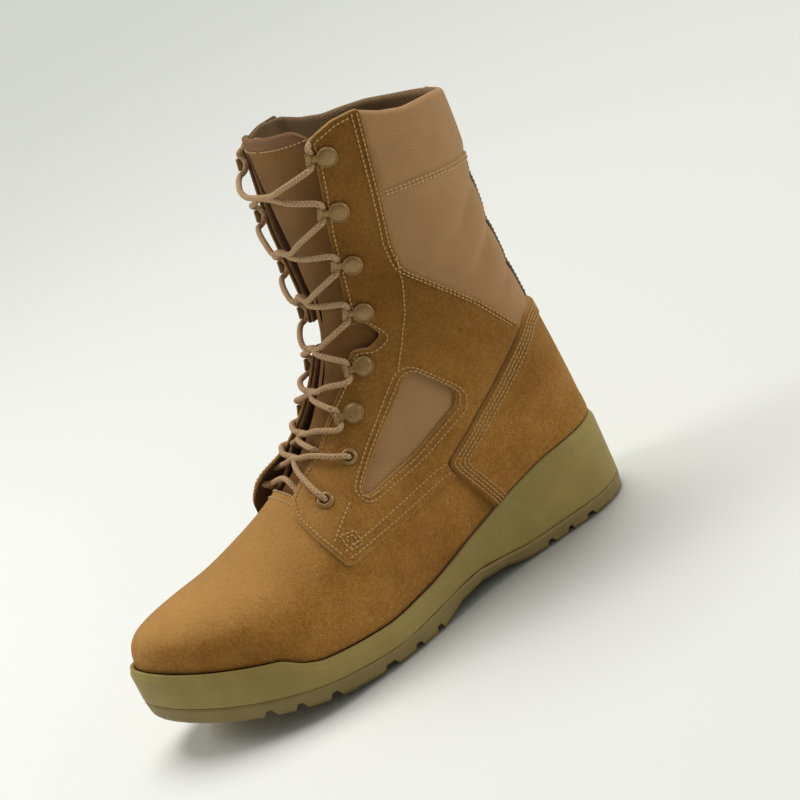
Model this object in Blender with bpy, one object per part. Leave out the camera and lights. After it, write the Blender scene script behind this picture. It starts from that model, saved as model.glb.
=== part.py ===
"""Lace-up desert boot, left foot, size US 9.

The boot stands on z = 0 with its toe towards -Y and its outer (lateral) side towards +X.
Lengths in the tables are millimetres; s is the distance forward from the back of the heel.
Every leather piece is cut from one function, boot_point(), which walks a fan of plane sections:
each section runs from a base point (on the sole's edge, then up the back seam) to a crest point
(over the toe and instep, then up the front of the shaft).
"""
import math

import bmesh
import bpy
import numpy as np
from mathutils import Matrix, Vector

MM = 0.001
GAP = 0.3                # between pieces that touch

# ---------------------------------------------------------------- driving sizes
LENGTH = 305.0           # outsole, heel to toe
HEEL_END = 45.0          # the round of the heel ends here
TOE_START = 218.0        # the round of the toe starts here
TOE_TIP_X = -13.0        # the toe's point lies towards the inner side
HEEL_ROUND = 2.3         # superellipse exponents of the plan's two ends
TOE_ROUND = {1: 1.75, -1: 2.3}
SPRING_START = 176.0     # the toe lifts off the ground from here
SPRING_RISE = 25.4
SPRING_POWER = 1.8
CUP_INSET = 3.9          # inner wall of the midsole's cup
UPPER_INSET = 4.8        # the upper stands just inside the cup
WALL = 2.8               # leather, foam and lining together
LEATHER = 1.7            # quarters
COUNTER_LEATHER = 2.3    # the counter lies over the quarters' back edge

# the sole's plan: half widths on the outer and inner side
#        s,    outer, inner
PLAN = ((45,   40.0,  39.0),
        (75,   40.0,  38.0),
        (115,  41.5,  35.5),
        (150,  48.5,  39.0),
        (185,  54.8,  47.0),
        (218,  55.8,  52.0))

# the midsole: height of its lip and depth of its cup, above the outsole's own rise at the toe
#        s,    lip,   cup
LIP = ((0,     49.5,  12.0),
       (30,    49.0,  12.0),
       (50,    47.6,  11.5),
       (75,    42.8,  11.0),
       (105,   34.6,  9.5),
       (130,   28.2,  7.5),
       (155,   24.3,  6.3),
       (185,   22.5,  5.8),
       (224,   22.9,  6.2),
       (234,   24.9,  8.2),
       (247,   30.2,  13.4),
       (305,   31.0,  13.6))

# the outsole: height of its tread (raised at the arch) and of its top
#         s,    tread, top
TREAD = ((0,     0.0,  9.3),
         (80,    0.0,  9.3),
         (98,    4.9,  11.5),
         (118,   7.1,  14.0),
         (134,   6.2,  13.4),
         (145,   0.0,  12.2),
         (190,   0.0,  9.5),
         (305,   0.0,  9.5))

# notches that part the lugs along both edges of the tread
#           s,     wide at the ground
NOTCHES = ((41.0,  9.0),
           (56.0,  6.0),
           (70.5,  7.0),
           (156.5, 7.0),
           (173.0, 8.0),
           (193.0, 12.0),
           (228.0, 8.0),
           (246.5, 7.0),
           (261.5, 7.0))
NOTCH_HIGH = 4.2
NOTCH_REACH = 24.0       # from the edge towards the middle
NOTCH_TOP = 0.45         # width at the top as a share of the width at the ground
NOTCH_FLARE = 1.2        # and the cutter's width where it ends below the tread
CUT_PAST = 2.0
MIDDLE_GROOVES = (26, 48, 64, 165, 183, 210, 237, 254)
MIDDLE_REACH = 15.0      # half length of the grooves across the middle
MIDDLE_WIDE = 4.0
MIDDLE_HIGH = 3.4

# side-view outlines: y, z and the radius that rounds the corner there
#                 y,     z,     round
QUARTER_EDGE = ((79.5,   273.0, 0),      # collar, at the fabric
                (64.0,   273.0, 12),
                (50.3,   268.5, 6),
                (50.3,   257.0, 20),
                (43.4,   219.0, 40),
                (40.4,   192.0, 20),
                (38.2,   174.0, 8),
                (34.5,   165.8, 1.5),
                (42.0,   165.0, 5),
                (47.5,   154.5, 5),
                (38.5,   151.2, 5),
                (30.8,   153.4, 4),
                (20.0,   140.5, 30),
                (-8.5,   113.2, 30),
                (-35.0,  96.2,  8),
                (-41.4,  89.5,  8))
QUARTER_FRONT = ((-41.0, 79.0,  20),
                 (-35.8, 60.8,  4.5),
                 (20.0,  64.2,  60),
                 (46.2,  66.8,  0))
COUNTER_EDGE = ((47.0,   68.0,  1.5),
                (44.6,   75.4,  4),
                (65.0,   85.2,  30),
                (90.5,   99.4,  40),
                (126.0,  124.0, 14))
FABRIC_EDGE = ((119.5,   120.6, 0),
               (103.0,   145.4, 40),
               (70.0,    183.0, 14),
               (69.0,    199.0, 14))
WINDOW = ((-11.0,  84.3,  3),
          (46.5,   127.5, 8),
          (53.5,   127.5, 4),
          (68.0,   108.5, 5),
          (63.5,   101.5, 5),
          (30.0,   90.7,  60))
COUNTER_TOP = 124.5
COUNTER_FOOT = 60.3
RIM = ((79.5,   270.8),
       (90.0,   265.2),
       (103.0,  260.8),
       (115.0,  259.6),
       (128.0,  258.0),
       (140.0,  255.0),
       (165.0,  250.5))
VAMP_THROAT = ((-32.6, 97.2), (-36.4, 104.0), (-60.0, 130.0), (-60.0, 330.0), (165.0, 330.0))

# hooks and eyelets: where their middles sit in the side view
HOOKS = ((55.8, 256.7), (51.0, 227.5), (48.1, 197.7), (44.6, 170.4), (32.0, 143.2), (15.2, 123.6))
EYELETS = ((-0.2, 105.1), (-23.5, 91.9))
HOOK_SEAT = LEATHER + GAP + 0.5
HOOK_PITCH = 0.27        # the tabs point forward, rising by this slope
SLOPE_STEP = 3.0         # the leather's slope under a hook is read this far ahead of it
STUD = ((5.5, 0.0), (5.5, 1.4), (3.4, 2.6))
TAB = ((-3.0, 3.0), (3.6, 3.0), (5.6, 1.8), (9.0, 1.6), (9.0, 3.5), (11.4, 3.5))
TAB_LOW = 0.15
TAB_HIGH = 1.15
EYELET = ((2.3, -2.2), (2.3, 1.2), (3.2, 1.7), (4.8, 0.7), (2.9, 0.6), (2.9, -2.2))
EYELET_HOLE = 3.3
HOLE_DEEP = 14.0

# the lace: strands cross between the levels, in front of the tongue
#              y,     z of each crossing
CROSSINGS = ((27.4,  247.0),
             (25.4,  215.5),
             (24.8,  188.5),
             (18.4,  160.3),
             (7.6,   138.9),
             (-8.0,  121.5),
             (-19.0, 112.4))
LACE = 3.4
LACE_OVER = 0.8          # the strands bulge apart where they cross
LACE_ARCH = {1: 0.8, -1: 2.4}
STRAND_STOPS = (0.3, 0.65)   # shares of a half strand where its height is set
STRAND_SETTLE = 1.4          # it nears the crossing's height by this power
HOOK_NECK = 8.2
HOOK_LIFT = 2.4
HOOK_CLEAR = 6.8
EYELET_CLEAR = 5.2
EYELET_SIDE = 4.8
EYELET_LIFT = 3.0
LACE_BAR = (-31.5, 104.2)

# the inner eyestay, pulled by the lace, stands off the tongue
#          y,    height at the crest
FLARE = ((-66.0, 0.0),
         (-45.0, 6.0),
         (-31.0, 9.5),
         (-12.0, 5.0),
         (12.0,  2.6),
         (32.0,  4.6),
         (46.0,  7.5),
         (60.0,  7.5))

# tongue, backstay and small allowances
TONGUE = ((66.0,  258.0, 0),
          (61.0,  200.0, 30),
          (58.0,  178.0, 20),
          (39.0,  140.0, 20),
          (-14.0, 90.0,  20),
          (-47.0, 80.0,  0),
          (-60.0, 80.0,  0),
          (-60.0, 276.5, 0),
          (44.5,  275.5, 8),
          (56.0,  261.0, 6))
TONGUE_CLEAR = 0.8
TONGUE_THICK = 3.0
STRIP_OUTLINE = ((130.0, 125.6), (165.0, 125.6), (165.0, 212.5), (130.0, 214.5))
STRIP_HALF = 10.0
STRIP_THICK = 1.2
FLARE_SEWN = (-25.0, -5.0)   # the wall under the inner eyestay follows it between these
FLARE_FROM = 0.70
COLLAR_PROUD = 0.9
COLLAR_PAD = 2.2
PAD_FRONT = 0.66
PAD_FADE = 0.05
COUNTER_CLEAR = 0.4
COUNTER_BACK = 162.0
LIP_CLEAR = 0.45
THROAT_BACK = 0.4
NOTCH_PAST = 4.0         # cutters run past the sole's edge
INSOLE_INSET = 8.8
INSOLE_THICK = 4.0
WIDE = 90.0              # cutters reach past both sides
MIDLINE = 0.6            # a quarter is cut from its own side of the shell only

# how finely the form is laid out
TOE_SAMPLES = (0.0, 0.008, 0.022, 0.042, 0.068)
FOOT_FROM = 0.1
NORMAL_STEP = 0.004
TOE_NORMAL = (0, -1, 0.6)
FOOT_SECTIONS = 14
SHAFT_SECTIONS = 6
COLLAR_SECTIONS = 3
SEAM_STEP = 0.004
LOW_STEPS = 3
HIGH_STEPS = 6
EDGE_POINTS = 29

# colours
SUEDE = (0.29, 0.15, 0.055)
FABRIC = (0.33, 0.21, 0.13)
WEBBING = (0.10, 0.07, 0.04)
LINING = (0.20, 0.13, 0.08)
RUBBER = (0.21, 0.18, 0.08)
TREAD_RUBBER = (0.18, 0.14, 0.07)
METAL = (0.20, 0.14, 0.06)
LACE_CLOTH = (0.36, 0.24, 0.14)

# the upper's sections, from the toe's tip up to the collar
#   base_y, base_z: where the section leaves the sole's edge (base_z 0) or the back seam
#   wide: where along the section it is widest; outer, inner: how far it swells past the sole's
#   plan there; top: superellipse exponent above the widest point; low: the same below it, on the shaft
#             crest_y crest_z crest_x base_y base_z wide  outer inner top   low
SECTIONS = ((-147.0,  57.8,   -13.0,  -147.7,  0.0,  0.12,  0.3,  0.3, 2.0,  2.0),
            (-145.2,  63.8,   -12.6,  -143.0,  0.0,  0.12,  0.3,  0.3, 2.1,  2.0),
            (-139.6,  70.0,   -12.0,  -132.0,  0.0,  0.13,  0.3,  0.3, 2.25, 2.0),
            (-126.5,  74.4,   -11.0,  -117.0,  0.0,  0.14,  0.4,  0.3, 2.3,  2.0),
            (-107.0,  77.3,   -9.5,   -98.0,   0.0,  0.18,  0.6,  0.4, 2.3,  2.0),
            (-88.0,   80.2,   -8.5,   -79.0,   0.0,  0.20,  1.0,  0.5, 2.2,  2.0),
            (-64.5,   86.6,   -7.5,   -53.0,   0.0,  0.24,  1.5,  0.8, 2.1,  2.0),
            (-40.5,   95.9,   -6.0,   -24.0,   0.0,  0.27,  2.0,  2.0, 2.05, 2.0),
            (-20.5,   108.3,  -4.5,   8.0,     0.0,  0.29,  2.0,  4.0, 2.05, 2.0),
            (-0.5,    126.0,  -3.0,   44.0,    0.0,  0.30,  1.8,  5.0, 2.1,  2.1),
            (15.5,    147.5,  -1.5,   87.0,    0.0,  0.31,  1.2,  4.0, 2.15, 2.2),
            (25.0,    166.5,  -0.5,   127.0,   0.0,  0.33,  1.0,  3.0, 2.2,  2.3),
            (28.4,    181.0,  0.0,    147.7,   49.5, 0.35,  1.4,  3.0, 2.25, 2.3),
            (29.8,    193.5,  0.0,    145.6,   92.0, 0.38,  3.0,  4.4, 2.3,  2.2),
            (31.2,    206.5,  0.0,    142.4,   138.0, 0.42, 5.6,  6.8, 2.35, 2.1),
            (32.4,    219.5,  0.0,    141.2,   180.0, 0.45, 8.4,  9.6, 2.45, 2.1),
            (33.6,    233.5,  0.0,    144.6,   217.0, 0.46, 11.2, 12.4, 2.55, 2.1),
            (37.5,    292.0,  0.0,    145.8,   265.0, 0.47, 15.4, 16.6, 2.7, 2.1))
HEEL_ROW = 12            # the first section whose base is on the back seam
SEAM_ROW = 16            # the padded collar starts at this section
HEEL_MIX = 0.12          # over this share of the fan the back changes from the sole's plan to the shaft's


# ---------------------------------------------------------------- curves
def steady_curve(table, column):
    """A smooth curve through a table's rows that never overshoots (monotone cubic)."""
    s = np.array([row[0] for row in table], float)
    v = np.array([row[column] for row in table], float)
    step = np.diff(s)
    slope = np.diff(v) / step
    tangent = np.zeros(len(s))
    for i in range(1, len(s) - 1):
        if slope[i - 1] * slope[i] > 0:
            tangent[i] = 2 * slope[i - 1] * slope[i] / (slope[i - 1] + slope[i])

    def at(x):
        x = np.clip(x, s[0], s[-1])
        i = np.clip(np.searchsorted(s, x) - 1, 0, len(s) - 2)
        h = step[i]
        q = (x - s[i]) / h
        return (v[i] * (1 + 2 * q) * (1 - q) ** 2 + tangent[i] * h * q * (1 - q) ** 2
                + v[i + 1] * q * q * (3 - 2 * q) - tangent[i + 1] * h * q * q * (1 - q))
    return at


def smooth_curve(knots, values):
    """A natural cubic spline through the values at the knots."""
    k = np.asarray(knots, float)
    v = np.asarray(values, float)
    h = np.diff(k)
    system = np.eye(len(k))
    rhs = np.zeros_like(v)
    for i in range(1, len(k) - 1):
        system[i, i - 1:i + 2] = h[i - 1], 2 * (h[i - 1] + h[i]), h[i]
        rhs[i] = 6 * ((v[i + 1] - v[i]) / h[i] - (v[i] - v[i - 1]) / h[i - 1])
    bend = np.linalg.solve(system, rhs)

    def at(x):
        x = np.clip(x, k[0], k[-1])
        i = np.clip(np.searchsorted(k, x) - 1, 0, len(k) - 2)
        a = (k[i + 1] - x) / h[i]
        b = 1 - a
        a, b, hi = (q[..., None] if v.ndim > 1 else q for q in (a, b, h[i]))
        return a * v[i] + b * v[i + 1] + ((a ** 3 - a) * bend[i] + (b ** 3 - b) * bend[i + 1]) * hi ** 2 / 6
    return at


# ---------------------------------------------------------------- the sole's plan and heights
plan_width = {1: steady_curve(PLAN, 1), -1: steady_curve(PLAN, 2)}
lip_height = steady_curve(LIP, 1)
cup_depth = steady_curve(LIP, 2)
tread_height = steady_curve(TREAD, 1)
parting_height = steady_curve(TREAD, 2)
flare_height = steady_curve(FLARE, 1)


def spring(s):
    """How far the tread lies above the ground."""
    ahead = np.clip((np.asarray(s, float) - SPRING_START) / (LENGTH - SPRING_START), 0, None)
    return SPRING_RISE * ahead ** SPRING_POWER


def lip_z(s):
    return lip_height(s) + spring(s)


def cup_z(s):
    return lip_z(s) - cup_depth(s)


def sole_edge(side, s):
    """x of the sole's widest line, on the outer (side 1) or inner (side -1) edge."""
    s = np.asarray(s, float)
    middle = side * plan_width[side](s)
    back = np.clip(1 - s / HEEL_END, 0, 1)
    heel = side * plan_width[side](HEEL_END) * (1 - back ** HEEL_ROUND) ** (1 / HEEL_ROUND)
    front = np.clip((s - TOE_START) / (LENGTH - TOE_START), 0, 1)
    n = TOE_ROUND[side]
    ball = side * plan_width[side](TOE_START)
    toe = TOE_TIP_X + (ball - TOE_TIP_X) * (1 - front ** n) ** (1 / n)
    return np.where(s < HEEL_END, heel, np.where(s > TOE_START, toe, middle))


def edge_line(side, inset, count):
    """Points (x, y) along one side of the sole from toe to heel, moved in by the inset."""
    turn = np.linspace(0, 1, count)
    s = LENGTH * (1 + np.cos(math.pi * turn)) / 2
    x = sole_edge(side, s)
    y = LENGTH / 2 - s
    dx = np.gradient(x)
    dy = np.gradient(y)
    dx[0], dy[0] = side, 0
    dx[-1], dy[-1] = -side, 0
    size = np.hypot(dx, dy)
    return x - side * inset * dy / size, y + side * inset * dx / size


FINE_EDGE = {side: edge_line(side, UPPER_INSET, 241) for side in (1, -1)}


def upper_edge(side, y):
    """x of the upper's bottom line at y."""
    x_line, y_line = FINE_EDGE[side]
    return np.interp(y, y_line, x_line)


# ---------------------------------------------------------------- the upper's form
def section_stations():
    """Where each row of SECTIONS lies along the fan, from 0 to 1."""
    rows = np.array(SECTIONS)
    crest = np.hypot(*np.diff(rows[:, 0:2], axis=0).T)
    base_z = np.where(np.arange(len(rows)) < HEEL_ROW, SECTIONS[HEEL_ROW][4], rows[:, 4])
    base = np.hypot(np.diff(rows[:, 3]), np.diff(base_z))
    steps = np.sqrt((crest ** 2 + base ** 2) / 2) + 2
    return np.concatenate(([0], np.cumsum(steps))) / steps.sum()


STATION = section_stations()
HEEL_T = STATION[HEEL_ROW]
section_at = smooth_curve(STATION, np.array(SECTIONS)[:, [0, 1, 2, 5, 6, 7, 8, 9]])
sole_base_at = smooth_curve(STATION[:HEEL_ROW + 1], np.array(SECTIONS)[:HEEL_ROW + 1, 3])
back_base_at = smooth_curve(STATION[HEEL_ROW:], np.array(SECTIONS)[HEEL_ROW:, 3:5])


def base_point(t):
    """y and z where a section starts."""
    y_sole = sole_base_at(np.minimum(t, HEEL_T))
    back = back_base_at(np.maximum(t, HEEL_T))
    on_sole = t < HEEL_T
    y = np.where(on_sole, y_sole, back[..., 0])
    z = np.where(on_sole, lip_z(LENGTH / 2 - y_sole), back[..., 1])
    return y, z


def boot_point(t, r, side):
    """The upper's outer surface: t along the fan, r from the base (0) to the crest (1)."""
    t, r = np.broadcast_arrays(np.asarray(t, float), np.asarray(r, float))
    crest_y, crest_z, crest_x, wide, outer, inner, top, low = np.moveaxis(section_at(t), -1, 0)
    base_y, base_z = base_point(t)
    swell = outer if side > 0 else inner
    at_wide = side * (upper_edge(side, base_y + wide * (crest_y - base_y)) - crest_x) + swell
    below = np.clip(1 - r / wide, 0, 1)
    above = np.clip((r - wide) / (1 - wide), 0, 1)
    seam_shift = np.where(t > HEEL_T, SECTIONS[HEEL_ROW][3] - base_y, 0.0)
    y_plan = base_y + r * (crest_y - base_y) + seam_shift
    like_plan = side * (upper_edge(side, y_plan) - crest_x) + swell * (1 - below ** 2)
    like_shaft = at_wide * (1 - below ** low) ** (1 / low)
    mix = np.clip((t - HEEL_T) / HEEL_MIX, 0, 1)
    mix = mix * mix * (3 - 2 * mix)
    fall = (1 - above ** top) ** (1 / top)
    half = np.where(r < wide, like_plan * (1 - mix) + like_shaft * mix, at_wide * fall)
    return np.stack([crest_x + side * half,
                     base_y + r * (crest_y - base_y),
                     base_z + r * (crest_z - base_z)], axis=-1)


def boot_normal(t, r, side):
    """The outward normal of boot_point."""
    step = NORMAL_STEP
    t = np.clip(t, step, 1 - step)
    r = np.clip(r, step, 1 - step)
    along = boot_point(t + step, r, side) - boot_point(t - step, r, side)
    up = boot_point(t, r + step, side) - boot_point(t, r - step, side)
    normal = side * np.cross(along, up)
    return normal / np.linalg.norm(normal, axis=-1, keepdims=True)


def find_section(y, z):
    """t and r of the place that the side view shows at (y, z)."""
    low, high = 0.0, 1.0
    for _ in range(40):
        t = (low + high) / 2
        crest = section_at(t)[0:2]
        base = np.array(base_point(t))
        line = crest - base
        reach = np.array((y, z)) - base
        if line[0] * reach[1] - line[1] * reach[0] > 0:
            high = t
        else:
            low = t
    return t, float(line @ reach / (line @ line))


def flare(y, r):
    """How far the inner eyestay stands off the tongue."""
    edge = min(max((r - FLARE_FROM) / (1 - FLARE_FROM), 0.0), 1.0)
    return float(flare_height(y)) * edge * edge * (3 - 2 * edge)


def wall_flare(y, r, side):
    """The wall goes with the inner eyestay, except at its loose front corner."""
    if side > 0:
        return 0.0
    start, end = FLARE_SEWN
    sewn = min(max((y - start) / (end - start), 0.0), 1.0)
    return flare(y, r) * sewn * sewn * (3 - 2 * sewn)


def leather_frame(y, z, side, height):
    """A matrix on the quarter's face: X towards the throat, Z straight out of the leather."""
    t, r = find_section(y, z)
    normal = boot_normal(t, r, side)
    point = boot_point(t, r, side)
    if side < 0 and flare(y, r) > 0:
        point = point + normal * flare(y, r)
        y_ahead = y - SLOPE_STEP
        ahead = find_section(y_ahead, z + SLOPE_STEP * HOOK_PITCH)
        there = boot_point(*ahead, side) + boot_normal(*ahead, side) * flare(y_ahead, ahead[1])
        slope = there - point
        across = np.cross(normal, slope)
        normal = np.cross(slope, across)
        normal = normal / np.linalg.norm(normal)
    forward = np.array((0.0, -1.0, HOOK_PITCH))
    forward = forward - normal * (forward @ normal)
    forward = forward / np.linalg.norm(forward)
    upward = np.cross(normal, forward)
    matrix = Matrix.Identity(4)
    origin = point + normal * height
    for row in range(3):
        matrix[row][0] = forward[row]
        matrix[row][1] = upward[row]
        matrix[row][2] = normal[row]
        matrix[row][3] = origin[row] * MM
    return matrix


# ---------------------------------------------------------------- meshes
def add_object(name, mesh, colour, roughness, metallic=0.0):
    """An object with its own plain material."""
    node = bpy.data.objects.new(name, mesh)
    bpy.context.scene.collection.objects.link(node)
    material = bpy.data.materials.new(name)
    material.use_nodes = True
    shader = material.node_tree.nodes["Principled BSDF"]
    shader.inputs["Base Color"].default_value = (*colour, 1)
    shader.inputs["Roughness"].default_value = roughness
    shader.inputs["Metallic"].default_value = metallic
    if not mesh.materials:
        mesh.materials.append(material)
    return node


def add_cutter(name, mesh):
    """A shape that only cuts others."""
    node = bpy.data.objects.new(name, mesh)
    bpy.context.scene.collection.objects.link(node)
    node.display_type = 'WIRE'
    node.hide_render = True
    return node


def cut(node, cutter, operation='DIFFERENCE'):
    modifier = node.modifiers.new(cutter.name, 'BOOLEAN')
    modifier.solver = 'EXACT'
    modifier.operation = operation
    modifier.object = cutter


def mesh_from_faces(name, points, faces):
    """A mesh in metres from points in millimetres; faces may name a point twice."""
    mesh = bpy.data.meshes.new(name)
    shape = bmesh.new()
    corners = [shape.verts.new([c * MM for c in point]) for point in points]
    for face in faces:
        ring = [corner for k, corner in enumerate(face) if corner != face[k - 1]]
        if len(set(ring)) > 2:
            shape.faces.new([corners[corner] for corner in ring])
    loose = [corner for corner in shape.verts if not corner.link_faces]
    bmesh.ops.delete(shape, geom=loose, context='VERTS')
    shape.to_mesh(mesh)
    shape.free()
    return mesh


def outward(mesh):
    """The same mesh with its faces pointing out."""
    shape = bmesh.new()
    shape.from_mesh(mesh)
    bmesh.ops.recalc_face_normals(shape, faces=shape.faces)
    shape.to_mesh(mesh)
    shape.free()
    return mesh


def rounded_outline(rows, steps=3):
    """A closed polygon from rows of y, z and radius, with its corners rounded."""
    outline = []
    for k, (y, z, radius) in enumerate(rows):
        corner = Vector((y, z))
        back = Vector(rows[k - 1][:2]) - corner
        ahead = Vector(rows[(k + 1) % len(rows)][:2]) - corner
        half_angle = back.angle(ahead) / 2
        reach = radius / math.tan(half_angle) if radius else 0
        reach = min(reach, 0.45 * back.length, 0.45 * ahead.length)
        if reach < 0.05:
            outline.append(corner)
            continue
        start = corner + back.normalized() * reach
        end = corner + ahead.normalized() * reach
        for i in range(steps + 1):
            q = i / steps
            outline.append(start * (1 - q) ** 2 + corner * 2 * q * (1 - q) + end * q * q)
    return outline


def prism(name, outline, x_from, x_to):
    """A side-view outline pushed along X."""
    count = len(outline)
    points = [(x, y, z) for x in (x_from, x_to) for y, z in outline]
    faces = [tuple(range(count))[::-1], tuple(range(count, 2 * count))]
    for k in range(count):
        after = (k + 1) % count
        faces.append((k, after, after + count, k + count))
    return outward(mesh_from_faces(name, points, faces))


# ---------------------------------------------------------------- the form, as a grid and as a shell
def section_samples():
    """Where the grid's sections lie: closer at the toe and at the collar's seam."""
    toe = np.array(TOE_SAMPLES)
    seam = STATION[SEAM_ROW]
    foot = FOOT_FROM + (HEEL_T - FOOT_FROM) * np.sin(np.linspace(0, math.pi / 2, FOOT_SECTIONS))
    shaft = np.linspace(HEEL_T, seam - SEAM_STEP, SHAFT_SECTIONS)[1:]
    collar = np.linspace(seam + SEAM_STEP, 1, COLLAR_SECTIONS)
    return np.concatenate((toe, foot, shaft, collar))


def form_grid():
    """Points and normals of the form: sections x places from outer base over the crest to inner base."""
    t = section_samples()
    wide = section_at(t)[:, 3]
    low = 1 - np.cos(np.linspace(0, math.pi / 2, LOW_STEPS + 1))
    high = np.sin(np.linspace(0, math.pi / 2, HIGH_STEPS + 1))
    r = np.concatenate((wide[:, None] * low, wide[:, None] + (1 - wide[:, None]) * high[1:]), axis=1)
    tt = np.repeat(t[:, None], r.shape[1], axis=1)
    outer = boot_point(tt, r, 1)
    inner = boot_point(tt, r, -1)
    grid = np.concatenate((outer, inner[:, -2::-1]), axis=1)
    grid[0] = grid[0].mean(axis=0)
    normal_outer = boot_normal(tt, r, 1)
    normal_inner = boot_normal(tt, r, -1)
    normal = np.concatenate((normal_outer, normal_inner[:, -2::-1]), axis=1)
    normal[:, HIGH_STEPS + LOW_STEPS] = normal_outer[:, -1] + normal_inner[:, -1]
    back = t >= HEEL_T - 1e-9
    normal[back, 0] = normal_outer[back, 0] + normal_inner[back, 0]
    seam_foot = int(np.argmax(back))
    normal[seam_foot, 0] = normal[seam_foot + 1, 0]
    normal[back, -1] = normal[back, 0]
    normal[0] = TOE_NORMAL
    normal = normal / np.linalg.norm(normal, axis=-1, keepdims=True)
    return t, r, grid, normal


FORM = form_grid()


def shell(name, outer_height, inner_height, margin=False):
    """A closed wall between two heights over the form; each height is a function of t, r and side.

    With a margin, the wall's foot goes straight down into the midsole's cup.
    """
    t, r, grid, normal = FORM
    sections, places = grid.shape[:2]
    crest = places // 2
    points = []
    index = {}
    for layer, height in enumerate((outer_height, inner_height)):
        for i in range(sections):
            for j in range(places):
                side = 1 if j <= crest else -1
                if i == 0 and j > 0:
                    index[layer, i, j] = index[layer, 0, 0]
                    continue
                if t[i] >= HEEL_T - 1e-9 and j == places - 1:
                    index[layer, i, j] = index[layer, i, 0]
                    continue
                raised = height(t[i], r[i, min(j, places - 1 - j)], side, grid[i, j])
                index[layer, i, j] = len(points)
                points.append(grid[i, j] + normal[i, j] * raised)
    heel = int(np.argmax(t >= HEEL_T - 1e-9))
    base_line = [(i, 0) for i in range(heel + 1)] + [(i, places - 1) for i in range(heel - 1, 0, -1)]
    foot = {}
    for layer in (0, 1):
        for i, j in base_line:
            foot[layer, i, j] = index[layer, i, j]
            if margin:
                x, y, _ = points[index[layer, i, j]]
                foot[layer, i, j] = len(points)
                points.append((x, y, float(cup_z(LENGTH / 2 - base_point(t[i])[0])) + GAP))
    faces = []
    for i in range(sections - 1):
        for j in range(places - 1):
            a, b, c, d = (i, j), (i + 1, j), (i + 1, j + 1), (i, j + 1)
            if math.dist(grid[a], grid[c]) < math.dist(grid[b], grid[d]):
                halves = ((a, b, c), (a, c, d))
            else:
                halves = ((a, b, d), (b, c, d))
            for half in halves:
                faces.append([index[0, *place] for place in half])
                faces.append([index[1, *place] for place in half[::-1]])
    for k, here in enumerate(base_line):
        after = base_line[(k + 1) % len(base_line)]
        if margin:
            faces.append([index[0, *here], foot[0, *here], foot[0, *after], index[0, *after]])
            faces.append([index[1, *after], foot[1, *after], foot[1, *here], index[1, *here]])
        faces.append([foot[0, *here], foot[1, *here], foot[1, *after], foot[0, *after]])
    top = sections - 1
    for j in range(places - 1):
        faces.append([index[0, top, j], index[1, top, j], index[1, top, j + 1], index[0, top, j + 1]])
    return outward(mesh_from_faces(name, points, faces))


def level(height):
    """The same height all over the form."""
    return lambda t, r, side, point: height


def padding(t, r):
    """1 on the padded collar behind the eyestays, 0 elsewhere."""
    if t < STATION[SEAM_ROW]:
        return 0.0
    return min(max((PAD_FRONT - r) / PAD_FADE, 0.0), 1.0)


def wall_outer(t, r, side, point):
    return COLLAR_PROUD * padding(t, r) + wall_flare(point[1], r, side)


def wall_inner(t, r, side, point):
    return -WALL - COLLAR_PAD * padding(t, r) + wall_flare(point[1], r, side)


def quarter_back(t, r, side, point):
    """The quarters lie on the wall; the inner one's front corner stands off it."""
    loose = flare(point[1], r) if side < 0 else 0.0
    return COLLAR_PROUD * padding(t, r) + GAP + loose


def quarter_face(t, r, side, point):
    return quarter_back(t, r, side, point) + LEATHER


# ---------------------------------------------------------------- sole
def sole_solid(name, rings, count=EDGE_POINTS):
    """A loft through rings around the sole's plan; each ring is an inset and a height function of s."""
    points = []
    for inset, height in rings:
        x, y = edge_line(1, inset, count)
        points += list(zip(x, y, height(LENGTH / 2 - y)))
        x, y = edge_line(-1, inset, count)
        points += list(zip(x, y, height(LENGTH / 2 - y)))[-2:0:-1]
    around = 2 * count - 2
    faces = []
    for ring in range(len(rings) - 1):
        for k in range(around):
            after = (k + 1) % around
            low = ring * around
            high = low + around
            faces.append((low + k, low + after, high + after, high + k))
    for ring in (0, len(rings) - 1):
        first = ring * around
        for k in range(count - 1):
            left = (around - k) % around
            left_after = around - k - 1
            faces.append((first + k, first + k + 1, first + left_after, first + left))
    return outward(mesh_from_faces(name, points, faces))


def shift(curve, amount):
    """A height function raised by an amount."""
    return lambda s: curve(s) + amount


def tread_z(s):
    return tread_height(s) + spring(s)


def parting_z(s):
    return parting_height(s) + spring(s)


def wedge(shape, middle, along, reach, wide, high):
    """One tapering bar across the tread: middle x, place along the sole, half reach, width, height."""
    ground = float(tread_z(along)) - CUT_PAST
    top = float(tread_z(along)) + high
    y = LENGTH / 2 - along
    corners = []
    for z, across in ((ground, wide * NOTCH_FLARE), (top, wide * NOTCH_TOP)):
        for dx, dy in ((-1, -1), (1, -1), (1, 1), (-1, 1)):
            corners.append(shape.verts.new(((middle + dx * reach) * MM, (y + dy * across / 2) * MM, z * MM)))
    for ring in ((3, 2, 1, 0), (4, 5, 6, 7), (0, 1, 5, 4), (1, 2, 6, 5), (2, 3, 7, 6), (3, 0, 4, 7)):
        shape.faces.new([corners[k] for k in ring])


def tread_cutter():
    shape = bmesh.new()
    reach = NOTCH_REACH / 2 + NOTCH_PAST
    for along, wide in NOTCHES:
        for side in (1, -1):
            edge = float(sole_edge(side, along))
            wedge(shape, edge + side * (NOTCH_PAST * 2 - reach), along, reach, wide, NOTCH_HIGH)
    for along in MIDDLE_GROOVES:
        middle = float(sole_edge(1, along) + sole_edge(-1, along)) / 2
        wedge(shape, middle, along, MIDDLE_REACH, MIDDLE_WIDE, MIDDLE_HIGH)
    mesh = bpy.data.meshes.new("cut_tread")
    shape.to_mesh(mesh)
    shape.free()
    return mesh


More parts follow.
